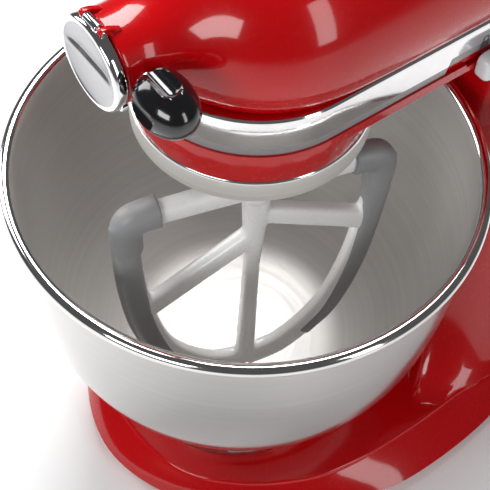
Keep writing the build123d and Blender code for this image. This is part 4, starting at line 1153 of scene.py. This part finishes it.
@dataclass
class AttachmentKnob:
    """The black knob that clamps an attachment: a rounded ball with four flutes at its shank end."""

    radius: float = 10.9 * MM
    length: float = 24.5 * MM
    flute_r: float = 4.7 * MM
    flute_at: float = 12.0 * MM
    flute_end: float = 17.0 * MM
    flute_fade: float = 4.0 * MM
    start_r: float = 7.6 * MM
    start_x: float = 0.7 * MM
    widest: float = 9.5 * MM
    segments: int = 192

    def lobe(self, angle: float, height: float, outer: float) -> float:
        """Share of the plain radius that is left, beside or inside a flute.

        Args:
            angle: Angle round the knob, from a flute's middle.
            height: Distance from the knob's inner end.
            outer: The plain radius there.

        Returns:
            The share, from 0 to 1.
        """
        fade = max(height - (self.flute_end - self.flute_fade), 0.0) / self.flute_fade
        cutter = self.flute_r * math.sqrt(max(1 - fade**2, 0.0))
        off = angle % (math.pi / 2) - math.pi / 4
        reach = cutter**2 - (self.flute_at * math.sin(off)) ** 2
        if cutter <= 0 or reach <= 0:
            return 1.0
        return min(1.0, (self.flute_at * math.cos(off) - math.sqrt(reach)) / outer)

    def build(self) -> None:
        """Builds the knob on its stud."""
        low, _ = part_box("attachment_knob")
        stud_low, stud_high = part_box("knob_stud")
        y, z = (stud_low.y + stud_high.y) / 2, (stud_low.z + stud_high.z) / 2
        profile = [(0.4 * MM, 0.15 * MM), (6.2 * MM, 0.0), (7.1 * MM, 0.15 * MM)]
        profile.append((self.start_r, self.start_x))
        for turn in np.linspace(0.06, 1.0, 20) * math.pi / 2:
            profile.append((self.start_r + (self.radius - self.start_r) * math.sin(turn),
                            self.widest - (self.widest - self.start_x) * math.cos(turn)))
        for turn in np.linspace(0.0, 1.0, 30)[1:] * math.pi / 2:
            profile.append((max(self.radius * math.cos(turn) ** 0.9, 0.05 * MM),
                            self.widest + (self.length - self.widest) * math.sin(turn)))
        angles = np.arange(self.segments) * 2 * math.pi / self.segments
        at = np.array([low.x, y, z])
        rows = []
        for radius, height in profile:
            share = np.array([self.lobe(angle + math.pi / 4, height, max(radius, 1e-5)) for angle in angles])
            rows.append(at + np.stack([np.full(self.segments, height), radius * share * np.cos(angles),
                                       radius * share * np.sin(angles)], axis=1))
        knob = grid_piece("attachment_knob_ball", rows, [BLACK_GLOSS], crease=30.0, cap_start=True,
                          cap_end=True)
        place(knob, Body.KNOB, "black_plastic", "attachment_knob")


@dataclass
class Lever:
    """A silver lever handle on one side of the head, with its arm into the casing."""

    node: str
    body: Body
    side: int
    handle_in: float = 51.1 * MM  # the handle's inner face
    squareness: float = 4.6
    arm_half: float = 4.0 * MM
    arm_thick: float = 0.6 * MM
    arm_near: float = 45.0 * MM
    arm_far: float = 52.0 * MM
    arm_z: float = 262.9 * MM
    segments: int = 96

    def build(self) -> None:
        """Builds the handle as a soft pillow of a bar with a crowned outer face."""
        low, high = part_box(self.node)
        outer = max(abs(low.x), abs(high.x))
        wide, tall, deep = high.y - low.y, high.z - low.z, outer - self.handle_in
        centre_y, centre_z = (low.y + high.y) / 2, (low.z + high.z) / 2
        angles = np.arange(self.segments) * 2 * math.pi / self.segments
        corner = 2 / self.squareness
        shape = np.stack([np.sign(np.cos(angles)) * np.abs(np.cos(angles)) ** corner * wide / 2,
                          np.sign(np.sin(angles)) * np.abs(np.sin(angles)) ** corner * tall / 2], axis=1)
        rows = []
        pillow = ((0.0, 0.0), (0.9, 0.0), (0.97, 0.04), (1.0, 0.14), (1.0, 0.6), (0.985, 0.78), (0.94, 0.9),
                  (0.86, 0.965), (0.7, 0.99), (0.0, 1.0))
        for scale, share in pillow:
            x = self.side * (self.handle_in + deep * share)
            flat = shape * max(scale, 0.01)
            rows.append(np.column_stack([np.full(self.segments, x), flat + (centre_y, centre_z)]))
        handle = grid_piece("handle", rows, [LEVER_SILVER], crease=60.0, cap_start=True, cap_end=True)
        reach = self.arm_far - self.arm_near
        start = min(self.side * self.arm_near, self.side * self.arm_far)
        at = upright_axis(start, low.y + 10 * MM, self.arm_z - self.arm_thick)
        outline = [(0, -self.arm_half), (reach, -self.arm_half), (reach, self.arm_half), (0, self.arm_half)]
        arm = prism("arm", outline, at, 2 * self.arm_thick, INNER_FINISHES["zinc_steel"], 0.2 * MM)
        place(joined(f"{self.node}_handle", [handle, arm]), self.body, "lever_silver", self.node)


# ------------------------------------------------------------------ planetary and beater
@dataclass
class DripRing:
    """The brushed ring round the planetary, tinted light beige as a painted reflection, with a painted highlight
    on its upper edge.
    """

    layout: Layout

    def build(self) -> None:
        """Builds the ring as one turned profile."""
        low, high, wide = self.layout.drip_low, self.layout.drip_high, self.layout.drip_r
        inner = wide - 7 * MM
        web, wall = low + 1.5 * MM, wide - 4.4 * MM
        corners = [(inner, web), (inner, low), (wide - 1.3 * MM, low), (wide, low + 1.3 * MM),
                   (wide, high - 1.0 * MM), (wide - 0.5 * MM, high), (wall, high), (wall, web), (inner, web)]
        radii = [0, 0.3 * MM, 0.9 * MM, 0.9 * MM, 0.35 * MM, 0.35 * MM, 0, 0, 0]
        profile = smooth_profile(corners, radii)
        # Band 1, the top 0.95 mm, is the upper edge with a painted highlight.
        bands = [1 if height > high - 0.95 * MM else 0 for _, height in profile[1:]]
        axis = upright_axis(0, self.layout.bowl_y)
        ring = lathe("drip_ring_band", profile, axis, [DRIP_STEEL_PAINTED_REFLECTION, BRIGHT_EDGE_PAINTED_HIGHLIGHT], bands, segments=192)
        place(crisp(ring), Body.PLANETARY, "band_steel", "drip_ring")


@dataclass
class Beater:
    """The flat beater: a white-coated cast frame with two staggered bars and grey silicone edges."""

    layout: Layout
    plane_angle: float = 74.0
    voxel: float = 0.75 * MM
    socket_r: float = 9.0 * MM
    outer: tuple[tuple[float, float], ...] = (
        (58.0, 10), (56.2, -20), (51.6, -62), (41.5, -97), (21, -122), (0, -128))
    outer_width: tuple[float, ...] = (8.4, 9.0, 10.5, 12.0, 14.0, 15.0)

    def matrix(self) -> Matrix:
        """The beater's plane.

        Returns:
            A frame with local X across the beater, local Y up and local Z out of it.
        """
        turn = math.radians(self.plane_angle)
        x, y, _ = self.layout.shaft
        return Matrix(((math.cos(turn), 0, math.sin(turn), x), (math.sin(turn), 0, -math.cos(turn), y),
                       (0, 1, 0, self.layout.rim_z), (0, 0, 0, 1)))

    def bar(self, line: np.ndarray, thick: Sequence[float], corner: float, finish: Finish
            ) -> bpy.types.Object:
        """Sweeps a rounded bar along a line in the beater's plane.

        Args:
            line: Points as across, up and width, in millimetres.
            thick: Half thickness at the start and at the end, in millimetres.
            corner: Squareness of the section; 2 is an ellipse, more is squarer.
            finish: Its finish.

        Returns:
            The bar.
        """
        matrix = self.matrix()
        angles = np.arange(28) * 2 * math.pi / 28
        side = np.sign(np.cos(angles)) * np.abs(np.cos(angles)) ** (2 / corner)
        out = np.sign(np.sin(angles)) * np.abs(np.sin(angles)) ** (2 / corner)
        ahead = np.gradient(line[:, :2], axis=0)
        ahead /= np.linalg.norm(ahead, axis=1, keepdims=True)
        rows = []
        for index, (across, up, width) in enumerate(line):
            normal = np.array([-ahead[index][1], ahead[index][0]])
            half = thick[0] + (thick[1] - thick[0]) * index / (len(line) - 1)
            wide = np.outer(side * width / 2, normal) + np.array([across, up])
            local = np.column_stack([wide, out * half]) * MM
            rows.append(np.array([tuple(matrix @ Vector(point)) for point in local]))
        return grid_piece("bar", rows, [finish], cap_start=True, cap_end=True)

    def straight(self, start: tuple[float, float], end: tuple[float, float], widths: tuple[float, float],
                 steps: int = 14) -> np.ndarray:
        """A straight line of points with its width running from one value to another.

        Args:
            start: The first place.
            end: The last place.
            widths: Width at the start and at the end.
            steps: Points on the line.

        Returns:
            The points with their widths.
        """
        shares = np.linspace(0, 1, steps)[:, None]
        first, last = np.array([*start, widths[0]]), np.array([*end, widths[1]])
        return first + (last - first) * shares

    def fuse(self, name: str, parts: list[bpy.types.Object], finish: Finish, voxel: float, soften: int
             ) -> bpy.types.Object:
        """Fuses overlapping bars into one skin with soft inner corners.

        Args:
            name: The fused piece's name.
            parts: The bars.
            finish: Its finish.
            voxel: Size of the remeshing grid.
            soften: Rounds of smoothing.

        Returns:
            The fused piece.
        """
        whole = joined(name, parts)
        remesh = whole.modifiers.new("fuse", "REMESH")
        remesh.mode = "VOXEL"
        remesh.voxel_size = voxel
        smooth = whole.modifiers.new("soften", "SMOOTH")
        smooth.factor = 0.5
        smooth.iterations = soften
        bpy.context.view_layer.update()
        baked(whole)
        whole.data.polygons.foreach_set("use_smooth", [True] * len(whole.data.polygons))
        whole.data.materials.clear()
        whole.data.materials.append(material(finish))
        return whole

    def frame_piece(self) -> bpy.types.Object:
        """Builds the cast frame: socket, shoulders, outer loop, stem and two staggered bars.

        Returns:
            The frame as one skin.
        """
        parts = []
        for way in (-1, 1):
            line = smooth_line([(way * x, y, w) for (x, y), w in zip(self.outer, self.outer_width)], 70)
            parts.append(self.bar(line, (4.0, 4.0), 3.2, WHITE_COAT))
            arm = self.straight((way * 4, 14.6), (way * 52, 13.6), (12.6, 10.4))
            parts.append(self.bar(arm, (4.6, 4.3), 3.0, WHITE_COAT))
            shoulder = smooth_line([(way * 48, 13.8, 10.4), (way * 55, 12.4, 10.2), (way * 58, 7, 9),
                                    (way * 57.6, -3, 8.6)], 22)
            parts.append(self.bar(shoulder, (4.3, 4.0), 3.0, WHITE_COAT))
        upper_stem = self.straight((0, 10), (0, -42), (13.0, 7.0))
        lower_stem = self.straight((0, -40), (0, -124), (7.0, 9.5))
        front_bar = self.straight((-1.5, -21.0), (-50, -55.5), (10.6, 10.6))
        rear_bar = self.straight((1.5, -4.8), (53, -30.0), (10.0, 12.0))
        parts.append(self.bar(upper_stem, (4.8, 3.9), 3.2, WHITE_COAT))
        parts.append(self.bar(lower_stem, (3.9, 4.0), 3.2, WHITE_COAT))
        parts.append(self.bar(front_bar, (4.0, 4.0), 3.6, WHITE_COAT))
        parts.append(self.bar(rear_bar, (4.0, 4.0), 3.6, WHITE_COAT))
        x, y, _ = self.layout.shaft
        rim = self.layout.rim_z
        corners = [(0.3 * MM, rim + 4.5 * MM), (4.0 * MM, rim + 4.5 * MM), (self.socket_r, rim + 12 * MM),
                   (self.socket_r, rim + 30 * MM), (0.3 * MM, rim + 30 * MM)]
        parts.append(lathe("socket", smooth_profile(corners, [0, 1.5 * MM, 2.5 * MM, 0.8 * MM, 0]),
                           upright_axis(x, y), [WHITE_COAT], segments=64))
        return self.fuse("beater_cast_frame", parts, WHITE_COAT, self.voxel, 12)

    def edges_piece(self) -> bpy.types.Object:
        """Builds the silicone: a sleeve over each shoulder, a channel down each side and a wiping fin.

        Returns:
            Both edges as one piece.
        """
        parts = []
        for way in (-1, 1):
            sleeve = smooth_line([(way * 43.5, 14.3, 14.6), (way * 50, 14.0, 14.6), (way * 55.5, 12.2, 15.0),
                                  (way * 58.0, 6.0, 14.2), (way * 57.6, -6, 13.4)], 36)
            parts.append(self.bar(sleeve, (6.4, 5.8), 2.5, GREY_SILICONE))
            channel = smooth_line([(way * 58.4, 4, 12.5), (way * 57.6, -20, 11.5), (way * 53.2, -62, 11.0),
                                   (way * 43.6, -97, 10.0), (way * 31, -115, 8.5)], 60)
            parts.append(self.bar(channel, (5.6, 5.2), 2.8, GREY_SILICONE))
            fin = smooth_line([(way * 62.6, 11, 5.4), (way * 62.2, -8, 6.0), (way * 60.2, -40, 6.4),
                               (way * 55.4, -72, 6.4), (way * 46.0, -100, 6.0),
                               (way * 32.5, -119.5, 5.0)], 70)
            parts.append(self.bar(fin, (1.9, 1.5), 3.5, GREY_SILICONE))
        return self.fuse("beater_silicone_edges", parts, GREY_SILICONE, 0.7 * MM, 5)

    def build(self) -> None:
        """Builds and places both parts of the beater."""
        place(self.frame_piece(), Body.AGITATOR, "white_coating", "beater_frame")
        place(self.edges_piece(), Body.AGITATOR, "grey_silicone", "flex_edges")


# ------------------------------------------------------------------ bowl
@dataclass
class MixingBowl:
    """The pressed steel bowl with its rolled rim and the fine spinning ring inside."""

    layout: Layout
    wall: float = 1.1 * MM
    bead: float = 3.0 * MM
    outline: tuple[tuple[float, float], ...] = (
        (0.0, 50.0), (22.0, 50.7), (50.0, 56.0), (64.5, 63.0), (76.0, 73.0), (86.5, 87.0), (94.0, 102.0),
        (99.2, 117.0), (102.0, 131.0), (104.0, 148.0), (105.0, 163.0), (105.4, 182.0), (105.5, 197.0))

    def smooth_outline(self) -> list[tuple[float, float]]:
        """The outside of the bowl from its centre to the rim, drawn smoothly."""
        line = smooth_line([(-22.0, 50.7), *self.outline], 120)
        return [(abs(r) * MM, z * MM) for r, z in line if r >= 0.0]

    def build(self) -> None:
        """Builds the bowl as one turned skin: outside, rolled rim, then the inside."""
        outside = self.smooth_outline()
        rim = self.layout.rim_z
        centre_r, centre_z = 106.9 * MM, rim - self.bead
        bead = [(centre_r + self.bead * math.cos(a), centre_z + self.bead * math.sin(a))
                for a in np.linspace(math.radians(-120), math.radians(150), 30)]
        inside = []
        for before, here, after in zip(outside, outside[1:], outside[2:]):
            ahead = np.array(after) - np.array(before)
            normal = np.array([ahead[1], -ahead[0]]) / np.linalg.norm(ahead)
            point = np.array(here) - normal * self.wall
            height = point[1]
            for line_z in (174.6 * MM, 171.8 * MM):
                point = point + np.array([0.32 * MM, 0.0]) * math.exp(-((height - line_z) / (0.8 * MM)) ** 2)
            if point[0] > 0:
                inside.append(tuple(point))
        profile = [(0.2 * MM, outside[0][1]), *outside[2:-1], *bead, *reversed(inside),
                   (0.2 * MM, inside[0][1])]
        start, end = len(outside) - 2, len(outside) - 2 + len(bead)
        bands = [0 if i < start else 1 if i < end else 2 for i in range(1, len(profile))]
        # The inside's finish is lighter and warmer than the outside's: a painted reflection.
        bowl = lathe("mixing_bowl", profile, upright_axis(0, self.layout.bowl_y),
                     [BOWL_OUTSIDE, BOWL_RIM, BOWL_INSIDE_PAINTED_REFLECTION], bands, segments=256)
        place(crisp(bowl, 50.0), Body.BOWL, "bowl_steel", "bowl")


# ------------------------------------------------------------------ base
@dataclass
class BaseCasting:
    """The enamelled base: a broad foot with a flat deck, and a column that flows up to the hinge."""

    layout: Layout
    segments: int = 480
    middle_y: float = 95.0
    foot_half: tuple[tuple[float, float], ...] = (
        (0, -154), (39, -143), (71, -115), (94, -77), (107, -44), (110.3, -11), (108, 29), (99, 73),
        (86, 111), (56, 138), (0, 145))
    crest_half: tuple[tuple[float, float], ...] = (
        (0, -140.5), (38, -133.5), (64, -111), (82, -81), (89, -55), (91.5, -23), (91, 15), (86, 59),
        (75, 99), (48, 127), (0, 135))
    column: tuple[tuple[float, float, float, float], ...] = (  # half width, front y, rear y, height
        (100, -23, 139, 14), (84, 3, 139, 40), (67, 25, 140, 84), (57, 39, 142, 132), (52, 47, 144, 190),
        (50.5, 49, 145, 257))
    scoop: tuple[tuple[float, float], ...] = ((102, 25), (106, 60), (112, 110), (114.5, 150), (114.5, 260))
    boss_spots: tuple[tuple[float, float], ...] = ((0, -135), (82, -51), (-82, -51), (62, 118), (-62, 118))
    squareness: float = 3.4
    fillet: float = 8.0
    edge: float = 2.2
    wall: float = 5.1
    top_round: float = 2.4

    def rays(self) -> np.ndarray:
        """Angles of the loops' points, closest together towards the far front."""
        even = np.arange(self.segments) * 2 * math.pi / self.segments
        return even + 0.42 * np.cos(even)

    def outline_radius(self, half: Sequence[tuple[float, float]]) -> np.ndarray:
        """Distance from the middle to a plan outline along each ray.

        Args:
            half: The outline's +X half.

        Returns:
            The distances, in millimetres.
        """
        loop = list(half) + [(-x, y) for x, y in half[-2:0:-1]]
        closed = [loop[-1], *loop, loop[0], loop[1]]
        line = []
        for index in range(len(loop)):
            known = [np.array(point, dtype=float) for point in closed[index:index + 4]]
            line += [spline_point(known, t) for t in np.linspace(0, 1, 24, endpoint=False)]
        points = np.array(line) - np.array([0, self.middle_y])
        angle = np.arctan2(points[:, 1], points[:, 0])
        order = np.argsort(angle)
        return np.interp(self.rays(), angle[order], np.hypot(*points[order].T), period=2 * math.pi)

    def column_size(self, height: float) -> tuple[float, float, float]:
        """Size of the column at a height, on smooth curves through its sections.

        Args:
            height: The height, in millimetres.

        Returns:
            Half width, front and rear, in millimetres.
        """
        levels = [section[3] for section in self.column]
        values = []
        for index in range(3):
            samples = [section[index] for section in self.column]
            slopes = np.gradient(np.array(samples, dtype=float), np.array(levels, dtype=float))
            k = int(np.clip(np.searchsorted(levels, height) - 1, 0, len(levels) - 2))
            span = levels[k + 1] - levels[k]
            t = (height - levels[k]) / span
            values.append((2 * t**3 - 3 * t**2 + 1) * samples[k] + (t**3 - 2 * t**2 + t) * span * slopes[k]
                          + (3 * t**2 - 2 * t**3) * samples[k + 1] + (t**3 - t**2) * span * slopes[k + 1])
        return values[0], values[1], values[2]

    def column_radius(self, height: float, scooped: bool) -> np.ndarray:
        """Distance from the middle to the column's surface along each ray.

        Args:
            height: Height of the section, in millimetres.
            scooped: Whether the hollow round the bowl is taken out.

        Returns:
            The distances, in millimetres.
        """
        half, front, rear = self.column_size(height)
        centre, deep = (front + rear) / 2, (rear - front) / 2
        angles = self.rays()
        across, along = np.cos(angles), np.sin(angles)
        low, high = np.zeros(len(angles)), np.full(len(angles), 260.0)
        hollow = float(np.interp(height, [z for _, z in self.scoop], [r for r, _ in self.scoop]))
        bowl_y = self.layout.bowl_y / MM
        for _ in range(24):
            middle = (low + high) / 2
            x, y = across * middle, self.middle_y + along * middle
            shape = (np.abs(x / half) ** self.squareness + np.abs((y - centre) / deep) ** self.squareness)
            size = (shape ** (1 / self.squareness) - 1) * half
            if scooped:
                bite = hollow - np.hypot(x, y - bowl_y)
                blend = np.maximum(6.0 - np.abs(size - bite), 0) / 6.0
                size = np.maximum(size, bite) + blend**2 * 1.5
            inside = size < 0
            low, high = np.where(inside, middle, low), np.where(inside, high, middle)
        return low

    def loop(self, radius: np.ndarray, height: float) -> np.ndarray:
        """Turns distances along the rays into a loop of points in metres."""
        angles = self.rays()
        return np.column_stack([radius * np.cos(angles), self.middle_y + radius * np.sin(angles),
                                np.full(len(angles), height)]) * MM

    def soft_max(self, first: np.ndarray, second: np.ndarray, blend: float) -> np.ndarray:
        """The larger of two sets of distances, with a soft change-over."""
        share = np.maximum(blend - np.abs(first - second), 0) / blend
        return np.maximum(first, second) + share**2 * blend / 4

    def shell(self) -> bpy.types.Object:
        """Builds the casting's skin from the pocket underneath to the column's top.

        Returns:
            The uncut casting.
        """
        foot, crest = self.outline_radius(self.foot_half), self.outline_radius(self.crest_half)
        deck = self.layout.deck_z / MM
        ceiling = deck - self.wall
        rows = [self.loop(crest * 0.05, ceiling), self.loop(crest - 5, ceiling), self.loop(crest - 4, 8.0)]
        rim_round = ((9, 3.2), (6.5, 3.0), (4.6, 3.6), (2.0, 5.8), (0.7, 7.8))
        rows += [self.loop(foot - inset, height) for inset, height in rim_round]
        for share in np.linspace(0, 1, 14):
            height = 9.6 + (deck - self.edge - 9.6) * share
            sag = 1.3 * math.sin(share * math.pi)
            slab = foot + (crest - foot) * share * 0.93 + sag
            flare = self.column_radius(max(height, 14.0), False)
            rows.append(self.loop(np.minimum(self.soft_max(slab, flare, 6.0), foot + 0.05), height))
        flare = self.column_radius(deck, False)
        rim = self.soft_max(crest, flare, 6.0)
        for turn in np.linspace(0.25, 1.0, 5):
            slope = turn * math.pi / 2
            drawn = np.maximum(rim - 0.9 * self.edge * (1 - math.cos(slope)), flare)
            rows.append(self.loop(drawn, deck - self.edge * (1 - math.sin(slope))))
        inner = self.column_radius(deck, True)
        edge_loop = np.maximum(rim - self.edge, flare)
        toe = np.minimum(inner + self.fillet, edge_loop)
        for share in (0.25, 0.5, 0.75, 1.0):
            rows.append(self.loop(edge_loop + (toe - edge_loop) * share, deck))
        for turn in np.linspace(0.12, 1.0, 8):
            lift = self.fillet * (1 - math.cos(turn * math.pi / 2))
            away = self.fillet * (1 - math.sin(turn * math.pi / 2))
            radius = np.minimum(self.column_radius(deck + lift, True) + away, toe)
            rows.append(self.loop(radius, deck + lift))
        top = self.layout.column_top / MM
        shoulder = top - self.top_round
        for height in np.linspace(deck + self.fillet + 2, shoulder, 76):
            rows.append(self.loop(self.column_radius(float(height), True), float(height)))
        last = self.column_radius(shoulder, True)
        for turn in np.linspace(0.2, 1.0, 6):
            drawn = self.top_round * (1 - math.cos(turn * math.pi / 2))
            rows.append(self.loop(last - drawn, shoulder + self.top_round * math.sin(turn * math.pi / 2)))
        return grid_piece("base_shell", rows, [RED], crease=42.0, cap_start=True, cap_end=True)

    def cutters(self) -> list[bpy.types.Object]:
        """Builds the volumes that are cut away for the head's lug, its swing, its lock and its hinge pin.

        Returns:
            The cutters, as closed solids.
        """
        hinge_y, hinge_z = self.layout.hinge_y, self.layout.hinge_z
        half, slot_front, slot_rear = 18.5 * MM, 90 * MM, 160 * MM
        corners = [(-half, slot_front), (half, slot_front), (half, slot_rear), (-half, slot_rear)]
        slot = prism("slot", corners, upright_axis(0, 0, hinge_z - 16 * MM), 100 * MM, RED, 1.5 * MM)
        swing = 37.5 * MM
        arc = [(swing * math.cos(a), swing * math.sin(a)) for a in np.linspace(0, math.pi / 2, 25)]
        outline = arc + [(-0.001 * MM, 90 * MM), (90 * MM, 90 * MM), (90 * MM, 0)]
        side = profile_axis(-90 * MM, hinge_y, hinge_z)
        sweep = prism("swing", outline, side, 180 * MM, RED)
        low_pin, high_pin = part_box("hinge_pin")
        bore_r = (high_pin.z - low_pin.z) / 2 + 0.4 * MM
        round_hole = [(bore_r * math.cos(a), bore_r * math.sin(a))
                      for a in np.linspace(0, 2 * math.pi, 40, endpoint=False)]
        bore = prism("bore", round_hole, side, 180 * MM, RED)
        low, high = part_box("lock_strike_plate")
        plate = [(low.x, low.y), (high.x, low.y), (high.x, high.y), (low.x, high.y)]
        pocket = prism("pocket", plate, upright_axis(0, 0, 244 * MM), 60 * MM, RED)
        return [sweep, slot, pocket, bore]

    def bosses(self) -> bpy.types.Object:
        """Builds the bosses under the deck that the rubber feet sit in.

        Returns:
            All the bosses as one piece.
        """
        made = []
        deck = self.layout.deck_z
        for x, y in self.boss_spots:
            corners = [(11.2 * MM, 8 * MM), (11.2 * MM, 2.2 * MM), (13 * MM, 2.2 * MM), (13 * MM, 10 * MM),
                       (5 * MM, 10 * MM), (4 * MM, deck - 6 * MM)]
            made.append(lathe("boss", smooth_profile(corners, [0, 0.4 * MM, 0.4 * MM, 0.4 * MM, 0.4 * MM, 0]),
                              upright_axis(x * MM, y * MM), [RED], segments=48))
        return joined("base_foot_bosses", made)

    def build(self) -> None:
        """Builds the casting, cuts it and places it."""
        shell = self.shell()
        for cutter in self.cutters():
            cut(shell, cutter)
        place(crisp(shell, 40.0), Body.BASE, "red_enamel", "base_casting")
        place(self.bosses(), Body.BASE, "red_enamel")


# ------------------------------------------------------------------ carried-over parts
@dataclass
class FittedParts:
    """The parts that keep their own shape: each gets its finish, and those in view get rounded edges."""

    rounded: dict[str, float] = field(default_factory=lambda: {
        "gearcase": 0.7, "bowl_clamp_plate": 0.5, "bowl_foot": 0.4, "knob_stud": 0.4, "hub_cap_pin": 0.15,
        "planetary_carrier": 0.5, "agitator_shaft": 0.3, "beater_spring_washer": 0.2, "bayonet_pin": 0.3,
        "rubber_feet": 0.5, "rear_cover_screw": 0.3, "brush_caps": 0.4, "cord_bushing": 0.5,
        "hinge_pin": 0.4})

    def build(self, replaced: set[str]) -> None:
        """Dresses every node that no piece stands for.

        Args:
            replaced: Nodes that a piece stands for.
        """
        slots = {part["node"]: part["material_slot"] for part in frame["record"]["subparts"]}
        for name, node in frame["nodes"].items():
            if name in replaced:
                continue
            slot = str(slots.get(name) or "zinc_steel")
            finish = INNER_FINISHES.get(slot, INNER_FINISHES["zinc_steel"])
            node.data.materials.clear()
            node.data.materials.append(material(finish))
            if name in self.rounded:
                weld = node.modifiers.new("weld", "WELD")
                weld.merge_threshold = 0.001 * MM
                bevel = node.modifiers.new("round", "BEVEL")
                bevel.width = self.rounded[name] * MM
                bevel.segments = 3
                bevel.limit_method = "ANGLE"
                bevel.angle_limit = math.radians(40)
                bevel.harden_normals = True
            LOG.info("%s keeps its shape, in %s", name, finish.name)


# ------------------------------------------------------------------ studio
@dataclass
class Studio:
    """A pale floor, soft lights and the camera."""

    camera_at: Point = (0.25937, -0.28156, 0.60622)
    azimuth: float = 50.358
    elevation: float = 54.504
    roll: float = 3.967
    lens: float = 86.47

    def camera(self) -> None:
        """Makes the camera, looking down across the hub from the +X side."""
        azimuth, elevation, roll = (math.radians(a) for a in (self.azimuth, self.elevation, self.roll))
        back = Vector((math.sin(azimuth) * math.cos(elevation), -math.cos(azimuth) * math.cos(elevation),
                       math.sin(elevation)))
        right = (-back).cross(Vector((0, 0, 1))).normalized()
        above = right.cross(-back)
        across = right * math.cos(roll) + above * math.sin(roll)
        upward = above * math.cos(roll) - right * math.sin(roll)
        data = bpy.data.cameras.new("camera")
        data.lens = self.lens
        data.sensor_width = 36.0
        data.clip_start = 0.01
        camera = bpy.data.objects.new("camera", data)
        facing = Matrix((across, upward, back)).transposed().to_4x4()
        camera.matrix_world = Matrix.Translation(self.camera_at) @ facing
        bpy.context.scene.collection.objects.link(camera)
        bpy.context.scene.camera = camera

    def light(self, name: str, at: Point, target: Point, size: tuple[float, float], power: float) -> None:
        """Hangs one rectangular softbox.

        Args:
            name: The light's name.
            at: Its place.
            target: Where it points.
            size: Its width and height.
            power: Its power in watts.
        """
        data = bpy.data.lights.new(name, "AREA")
        data.shape = "RECTANGLE"
        data.size, data.size_y = size
        data.energy = power
        lamp = bpy.data.objects.new(name, data)
        lamp.location = at
        lamp.rotation_euler = (Vector(target) - Vector(at)).to_track_quat("-Z", "Y").to_euler()
        bpy.context.scene.collection.objects.link(lamp)

    def floor(self) -> None:
        """Lays the pale floor."""
        half = 4.0
        mesh = bpy.data.meshes.new("floor")
        corners = [(-half, -half, 0), (half, -half, 0), (half, half, 0), (-half, half, 0)]
        mesh.from_pydata(corners, [], [(0, 1, 2, 3)])
        shader = Shader("floor")
        shader.set(Roughness=0.6)
        cloud = shader.noise(shader.coords(Coords.OBJECT, (1, 1, 1)), 3.0)
        shader.tint(cloud, (0.90, 0.90, 0.90), (0.93, 0.93, 0.93))
        mesh.materials.append(shader.material)
        floor = bpy.data.objects.new("floor", mesh)
        bpy.context.scene.collection.objects.link(floor)

    def build(self) -> None:
        """Sets the stage."""
        self.camera()
        self.floor()
        aim = (0.0, -0.03, 0.2)
        self.light("overhead", (-0.55, 0.35, 1.5), aim, (0.8, 0.8), 30.0)
        self.light("left", (-1.3, -0.7, 0.9), aim, (0.6, 1.0), 12.0)
        self.light("right", (1.4, 0.15, 0.75), aim, (0.3, 1.0), 5.0)
        self.light("front", (0.5, -1.5, 0.9), aim, (0.9, 0.5), 12.0)
        world = bpy.data.worlds.new("studio")
        world.use_nodes = True
        world.node_tree.nodes["Background"].inputs["Color"].default_value = (0.95, 0.95, 0.96, 1.0)
        world.node_tree.nodes["Background"].inputs["Strength"].default_value = 0.1
        bpy.context.scene.world = world
        bpy.context.scene.view_settings.view_transform = "Standard"


def main() -> None:
    """Builds every sub-assembly, dresses what is left, and sets the stage."""
    logging.basicConfig(level=logging.INFO, format="%(message)s")
    layout = Layout.read()
    Studio().build()
    builders = [HeadShell(layout), TrimBand(layout), HubCap(layout), AttachmentKnob(),
                Lever("lock_lever", Body.LOCK, 1), Lever("speed_lever", Body.SPEED, -1), DripRing(layout),
                Beater(layout), MixingBowl(layout), BaseCasting(layout)]
    for builder in builders:
        LOG.info("Building %s", type(builder).__name__)
        builder.build()
    replaced = {"upper_housing", "rear_cover", "trim_band", "hub_cap", "attachment_knob", "lock_lever",
                "speed_lever", "drip_ring", "beater_frame", "flex_edges", "bowl", "base_casting"}
    FittedParts().build(replaced)


if __name__ == "__main__":
    main()
